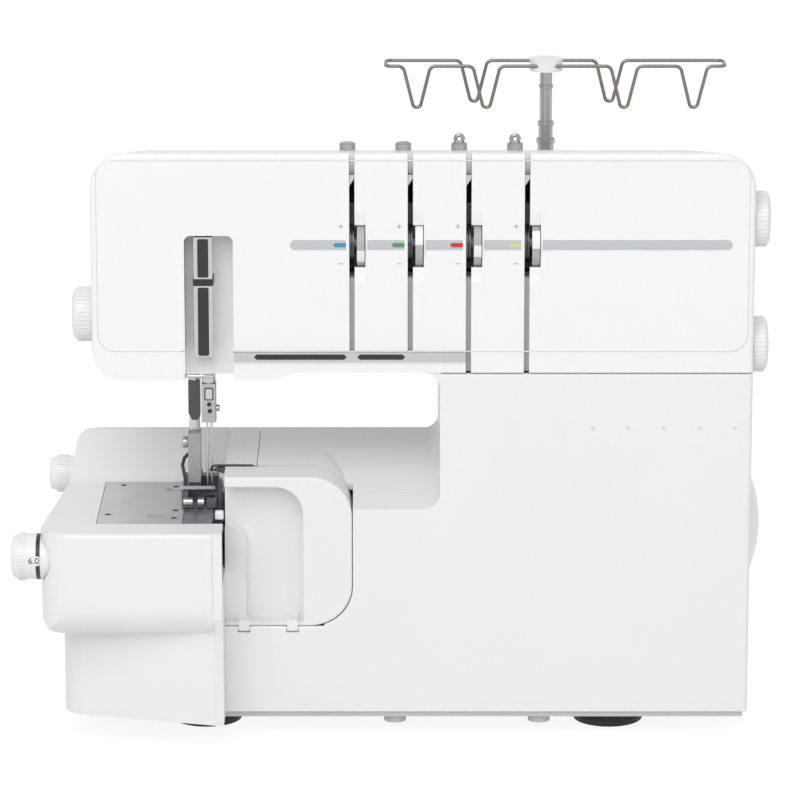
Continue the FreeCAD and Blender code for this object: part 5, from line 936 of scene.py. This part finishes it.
def top_guides():
    shape = bmesh.new()
    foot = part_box("top_thread_guides")[0][2] / MM
    for across in TOP_GUIDES:
        add_turned(shape, NUT_PROFILE, (across, TOP_GUIDE_Y, foot), "Z", steps=NUT_SIDES)
    for across in EYELET_GUIDES:
        middle = (across, TOP_GUIDE_Y, foot + EYELET_RISE)
        loop = [turned_point(middle, "Y", 0.0, EYELET_RADIUS, math.radians(turn)) for turn in EYELET_TURNS]
        add_wire(shape, loop, EYELET_WIRE)
    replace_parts(finished("top_guide_nuts", shape, "machine", nut_chrome), "top_thread_guides")


arm_crown()
top_guides()


# Soft inside corners of the throat.

BED_LINE = ((COLUMN_LEFT, ARM_FRONT + 0.5, 107.6), (COLUMN_LEFT, -53.0, 122.3), (COLUMN_LEFT, -16.5, 122.3))
BED_COVE = 7.0
ARM_LINE = ((COLUMN_LEFT, ARM_FRONT + 0.7, ARM_BOTTOM), (COLUMN_LEFT, -8.5, ARM_BOTTOM))
ARM_COVE = 8.0


def throat_corners():
    shape = bmesh.new()
    add_cove(shape, BED_LINE, -1.0, 1.0, BED_COVE)
    add_cove(shape, ARM_LINE, -1.0, -1.0, ARM_COVE)
    finished("throat_corners", shape, "machine", white_base)


throat_corners()


# Right end of the extension table: a side wall that clears the dial stems and the knives, and a front strip.

TABLE_WALL = ((-132.1, 12.7), (-132.1, 54.0), (-133.2, 56.5), (-136.4, 62.0), (-136.6, 78.3), (-98.0, 78.3),
              (-98.0, 12.7))
TABLE_WALL_X = (-80.6, -77.06)
TABLE_STRIP = ((-81.6, -136.8, 77.0), (-77.06, -134.7, 103.0))
TABLE_STRIP_EDGE = 0.4


def table_end():
    shape = bmesh.new()
    add_slab(shape, TABLE_WALL, on_side, TABLE_WALL_X)
    add_block(shape, *TABLE_STRIP, TABLE_STRIP_EDGE)
    finished("table_end_wall", shape, "table", white_base)


table_end()


# Needle clamp: a window with a dark rim, two screws in front and one at the side.

CLAMP_FRONT = -89.0
CLAMP_RIM = (-86.3, 153.4, -82.1, 159.3, 0.7)
CLAMP_RIM_Y = (CLAMP_FRONT - 0.15, CLAMP_FRONT + 0.1)
CLAMP_PANE = (-85.7, 154.0, -82.7, 158.7, 0.5)
CLAMP_PANE_Y = (CLAMP_FRONT - 0.3, CLAMP_FRONT + 0.1)
CLAMP_SCREWS = ((-84.1, CLAMP_FRONT, 151.5), (-83.8, CLAMP_FRONT, 148.4))
CLAMP_SCREW = (1.0, 0.5, 20)
SIDE_SCREW_AT = (-81.0, NEEDLE_Y, 149.0)
SIDE_SCREW = ((-0.2, 0), (-0.2, 1.5), (1.1, 1.5), (1.5, 1.1), (1.5, 0))


def needle_trim():
    body = "needle_carriage"
    rim = bmesh.new()
    add_slab(rim, rounded(*CLAMP_RIM), on_front, CLAMP_RIM_Y)
    finished("clamp_window_rim", rim, body, blade_steel)
    pane = bmesh.new()
    add_slab(pane, rounded(*CLAMP_PANE), on_front, CLAMP_PANE_Y)
    finished("clamp_window", pane, body, plate_steel)
    heads("clamp_screws", CLAMP_SCREWS, *CLAMP_SCREW, EVEN, FACING_FRONT, body, "steel", charcoal)
    side = bmesh.new()
    add_turned(side, SIDE_SCREW, SIDE_SCREW_AT, "X", SMALL_TURNED_STEPS)
    finished("clamp_side_screw", side, body, satin_steel)


# Presser bar and foot: the bar's block, a thumb screw, a lever, two rollers and a ridge.

BAR_BLOCK = ((-93.9, 160.5), (-93.9, 145.5), (-92.2, 142.3), (-89.8, 142.3), (-88.5, 144.0), (-88.5, 160.5))
BAR_BLOCK_Y = (-81.2, -74.9)
THUMB_SCREW_AT = (-94.0, -80.0, 131.7)
THUMB_SCREW = ((0.3, 0), (0.3, 2.1), (-0.4, 2.5), (-2.4, 2.5), (-2.9, 2.0), (-2.9, 0))
THUMB_STEPS = 32
THUMB_RIBS_AT = (-95.4, -80.0, 131.7)
THUMB_RIBS = 22
THUMB_RIB_SIZE = (0.3, 0.34, 1.8)
THUMB_RADIUS = 2.5
LEVER = ((-93.6, -80.0, 126.5), (-96.0, -81.5, 124.5), (-96.8, -83.0, 121.5), (-95.8, -85.0, 117.5),
         (-95.0, -86.3, 112.5))
LEVER_RADIUS = 0.8
FOOT_FRONT = -94.5
# Left end and length of each roller.
ROLLERS = ((-96.0, 4.4), (-89.6, 3.2))
ROLLER_RADIUS = 1.8
ROLLER_BEVEL = 0.3
ROLLER_AT = (FOOT_FRONT - 0.6, 107.6)
RIDGE_X = (-96.0, -82.0)
RIDGE_AT = (FOOT_FRONT + 1.2, 113.7)
RIDGE_COUNT = 10
RIDGE_TOOTH = (0.75, 1.4, 4)


def presser_trim():
    body = "presser"
    block = bmesh.new()
    add_slab(block, BAR_BLOCK, on_front, BAR_BLOCK_Y)
    finished("presser_bar_block", block, body, blade_steel)
    screw = bmesh.new()
    add_turned(screw, THUMB_SCREW, THUMB_SCREW_AT, "X", THUMB_STEPS)
    finished("ankle_thumb_screw", screw, body, satin_steel)
    rib_ring("ankle_thumb_screw_ribs", THUMB_RIBS_AT, THUMB_RADIUS, THUMB_RIBS, THUMB_RIB_SIZE, body,
             satin_steel)
    lever = bmesh.new()
    add_wire(lever, LEVER, LEVER_RADIUS)
    finished("ankle_lever", lever, body, black_plastic)
    rollers = bmesh.new()
    narrow = ROLLER_RADIUS - ROLLER_BEVEL
    for left, length in ROLLERS:
        profile = [(0, 0), (0, narrow), (ROLLER_BEVEL, ROLLER_RADIUS), (length - ROLLER_BEVEL, ROLLER_RADIUS),
                   (length, narrow), (length, 0)]
        add_turned(rollers, profile, (left, *ROLLER_AT), "X", SMALL_TURNED_STEPS)
    finished("foot_rollers", rollers, body, chrome)
    step = (RIDGE_X[1] - RIDGE_X[0]) / (RIDGE_COUNT - 1)
    ridge = [(RIDGE_X[0] + step * index, *RIDGE_AT) for index in range(RIDGE_COUNT)]
    heads("foot_ridge", ridge, *RIDGE_TOOTH, EVEN, FACING_UP, body, "steel", plate_steel)


needle_trim()
presser_trim()


# Stitch area: the looper wire over the bed, a white tab on the knife holder, holes in the needle plate drawn
# as dark discs of painted shade.

LOOPER_WIRE = ((-84.0, -86.0, 119.5), (-83.4, -86.0, 121.4), (-82.0, -86.1, 122.2), (-78.0, -86.2, 122.4),
               (-65.0, -86.4, 122.3), (-63.2, -86.4, 121.2), (-62.4, -86.4, 118.5), (-62.2, -86.4, 112.0))
LOOPER_WIRE_RADIUS = 0.55
KNIFE_TAB = ((-81.0, -113.0, 103.9), (-77.2, -109.6, 107.8))
KNIFE_TAB_EDGE = 0.7
PLATE_HOLES = ((-125.4, -53.0), (-129.7, -104.0), (-101.2, -55.6), (-99.5, -97.0), (-99.6, -110.0))
PLATE_HOLE = (1.45, 0.08, 24)


def stitch_trim():
    wire = bmesh.new()
    add_wire(wire, LOOPER_WIRE, LOOPER_WIRE_RADIUS)
    finished("looper_wire", wire, "machine", blade_steel)
    tab = bmesh.new()
    add_block(tab, *KNIFE_TAB, KNIFE_TAB_EDGE)
    finished("knife_holder_tab", tab, "machine", white_base)
    spots = [(x, y, PLATE_TOP) for x, y in PLATE_HOLES]
    # Each hole is a flat dark disc on the plate: painted shade standing in for the open hole.
    heads("plate_hole_painted_shade", spots, *PLATE_HOLE, EVEN, FACING_UP, "machine", "black_plastic", charcoal)


stitch_trim()


# Thread stand: felt under each cone holder, fins on the holders, rings on the pole.

CONES = (-82.0, -18.0, 46.0, 110.0)
CONE_Y = 92.0
STAND_TOP = 175.3
FELT = ((0, 0), (0, 20.0), (1.1, 20.0), (1.5, 19.5), (1.5, 0))
FINS = 6
FIN = ((12.0, 176.8), (17.4, 176.8), (17.4, 178.5), (7.4, 202.6), (4.0, 202.6))
FIN_SPAN = (-0.7, 0.7)
POLE = (71.0, 28.0)
# Body, lowest and highest level, inner and outer radius of each ring.
POLE_RINGS = {
    "pole_base_ring": ("machine", 249.6, 251.9, 3.7, 4.4),
    "pole_middle_ring": ("pole_middle", 257.9, 260.0, 3.2, 3.85),
    "pole_upper_ring": ("pole_upper", 275.9, 277.6, 2.8, 3.4),
}
POLE_RING_BEVEL = 0.2


def add_fin(shape, middle, angle):
    """One upright fin that stands out from a cone's axis."""
    turn = Matrix.Rotation(angle, 3, "Z")

    def on_fin(out, up, along):
        return middle + turn @ Vector((out, along, up))

    add_slab(shape, FIN, on_fin, FIN_SPAN)


def thread_stand_trim():
    pads = bmesh.new()
    fins = bmesh.new()
    for across in CONES:
        add_turned(pads, FELT, (across, CONE_Y, STAND_TOP), "Z")
        for index in range(FINS):
            add_fin(fins, Vector((across, CONE_Y, 0)), 2 * math.pi * index / FINS)
    finished("cone_felts", pads, "machine", felt)
    finished("cone_fins", fins, "machine", grey_plastic)
    for name, (body, low, high, inner, outer) in POLE_RINGS.items():
        ring = bmesh.new()
        narrow = outer - POLE_RING_BEVEL
        section = [(low, inner), (low, narrow), (low + POLE_RING_BEVEL, outer),
                   (high - POLE_RING_BEVEL, outer), (high, narrow), (high, inner)]
        add_turned(ring, section, (*POLE, 0.0), "Z", hollow=True)
        finished(name, ring, body, pole_steel)


thread_stand_trim()


# Back of the casing: slotted screws and a row of vent slits; the screw slots and the slits are dark bars of
# painted shade.

COLUMN_BACK = 32.0
ARM_BACK = -7.9
BACK_SCREWS = ((34.0, COLUMN_BACK, 26.0), (134.0, COLUMN_BACK, 26.0), (34.0, COLUMN_BACK, 156.0),
               (146.0, COLUMN_BACK, 156.0), (-120.0, ARM_BACK, 240.0), (140.0, ARM_BACK, 240.0),
               (10.0, ARM_BACK, 240.0))
BACK_SCREW = (3.0, 1.0, 28)
SCREW_SLOT = (2.0, 0.4, 4)
SCREW_SLOT_STRETCH = (1.0, 0.22, 1.0)
SCREW_SLOT_RISE = 0.35
VENT_COUNT = 11
VENT_START = 52.0
VENT_PITCH = 6.5
VENT_AT = (COLUMN_BACK - 0.15, 58.0)
VENT = (1.1, 0.5, 20)
VENT_STRETCH = (1.0, 13.0, 1.0)


def casing_back():
    heads("back_screws", BACK_SCREWS, *BACK_SCREW, EVEN, FACING_FRONT, "machine", "steel", satin_steel)
    # The screw slots are thin dark bars on the heads: painted shade standing in for the grooves.
    crossed = [(x, y + SCREW_SLOT_RISE, z) for x, y, z in BACK_SCREWS]
    heads("back_screw_slot_painted_shade", crossed, *SCREW_SLOT, SCREW_SLOT_STRETCH, FACING_FRONT, "machine",
          "black_plastic", charcoal)
    # The vent slits are flat dark bars on the back: painted shade standing in for open slits.
    slits = [(VENT_START + VENT_PITCH * index, *VENT_AT) for index in range(VENT_COUNT)]
    heads("vent_slit_painted_shade", slits, *VENT, VENT_STRETCH, FACING_FRONT, "machine", "black_plastic", charcoal)


casing_back()


# Floor, air, lamps and camera.

FLOOR_SIZE = 14.0
FLOOR_AT = (0, 3.0, 0)
FLOOR_LIT = (0.8, 0.8, 0.8, 1.0)
FLOOR_SEEN = (0.17, 0.17, 0.17, 1.0)
FLOOR_GLOW = (0.9, 0.9, 0.9, 1.0)
AIR_LEVEL = 0.78
# Name, place and aim in metres, power, size.
LAMPS = (
    ("key_lamp", (-0.5, -1.85, 1.65), (0.0, -0.05, 0.13), 25.0, 1.7),
    ("fill_lamp", (1.3, -1.9, 0.6), (0.0, -0.05, 0.13), 3.0, 1.4),
    ("rear_lamp", (0.3, 1.6, 1.6), (0.0, 0.0, 0.15), 3.0, 1.4),
)
CAMERA_AIM = Vector((2.3, 0.0, 131.4)) * MM
CAMERA_RANGE = 2.2
CAMERA_RISE = math.radians(14.0)
CAMERA_LENS = 209.6
CAMERA_SENSOR = 36.0
CAMERA_CLIP = 50.0


def light_path_sum(tree):
    """1 where the ray comes from the camera, a mirror or a clear piece."""
    rays = tree.nodes.new("ShaderNodeLightPath")
    total = combined(tree, rays.outputs["Is Camera Ray"], rays.outputs["Is Glossy Ray"])
    total = combined(tree, total, rays.outputs["Is Transmission Ray"])
    return combined(tree, total, 1.0, "MINIMUM")


def studio_floor():
    """A matt floor that looks near white but lights the object as a pale one does."""
    bpy.ops.mesh.primitive_grid_add(x_subdivisions=4, y_subdivisions=4, size=FLOOR_SIZE, location=FLOOR_AT)
    floor = bpy.context.object
    floor.name = "studio_floor"
    paper = bpy.data.materials.new("floor_paper")
    paper.use_nodes = True
    tree = paper.node_tree
    tree.nodes.clear()
    seen = light_path_sum(tree)
    matt = tree.nodes.new("ShaderNodeBsdfDiffuse")
    tone = tree.nodes.new("ShaderNodeMix")
    tone.data_type = "RGBA"
    tone.inputs["A"].default_value = FLOOR_LIT
    tone.inputs["B"].default_value = FLOOR_SEEN
    tree.links.new(seen, tone.inputs["Factor"])
    tree.links.new(tone.outputs["Result"], matt.inputs["Color"])
    glow = tree.nodes.new("ShaderNodeEmission")
    glow.inputs["Color"].default_value = FLOOR_GLOW
    tree.links.new(seen, glow.inputs["Strength"])
    both = tree.nodes.new("ShaderNodeAddShader")
    tree.links.new(matt.outputs["BSDF"], both.inputs[0])
    tree.links.new(glow.outputs["Emission"], both.inputs[1])
    leave = tree.nodes.new("ShaderNodeOutputMaterial")
    tree.links.new(both.outputs["Shader"], leave.inputs["Surface"])
    floor.data.materials.append(paper)


def studio_air():
    """Even light from all sides; seen directly or in a mirror it is white."""
    world = bpy.data.worlds.new("studio_air")
    bpy.context.scene.world = world
    world.use_nodes = True
    tree = world.node_tree
    tree.nodes.clear()
    seen = light_path_sum(tree)
    strength = tree.nodes.new("ShaderNodeMapRange")
    strength.inputs["To Min"].default_value = AIR_LEVEL
    strength.inputs["To Max"].default_value = 1.0
    tree.links.new(seen, strength.inputs["Value"])
    air = tree.nodes.new("ShaderNodeBackground")
    tree.links.new(strength.outputs["Result"], air.inputs["Strength"])
    leave = tree.nodes.new("ShaderNodeOutputWorld")
    tree.links.new(air.outputs["Background"], leave.inputs["Surface"])


def studio_lamps():
    for name, place, aim, power, size in LAMPS:
        lamp = bpy.data.lights.new(name, "AREA")
        lamp.energy = power
        lamp.size = size
        item = linked(name, lamp)
        item.location = place
        item.rotation_euler = (Vector(aim) - Vector(place)).to_track_quat("-Z", "Y").to_euler()


def photo_camera():
    camera = bpy.data.cameras.new("photo_camera")
    camera.lens = CAMERA_LENS
    camera.sensor_width = CAMERA_SENSOR
    camera.clip_end = CAMERA_CLIP
    stand = linked("photo_camera", camera)
    backward = Vector((0, -math.cos(CAMERA_RISE), math.sin(CAMERA_RISE)))
    stand.location = CAMERA_AIM + backward * CAMERA_RANGE
    stand.rotation_euler = (math.pi / 2 - CAMERA_RISE, 0.0, 0.0)
    bpy.context.scene.camera = stand


studio_floor()
studio_air()
studio_lamps()
photo_camera()
bpy.context.scene.view_settings.view_transform = "Standard"
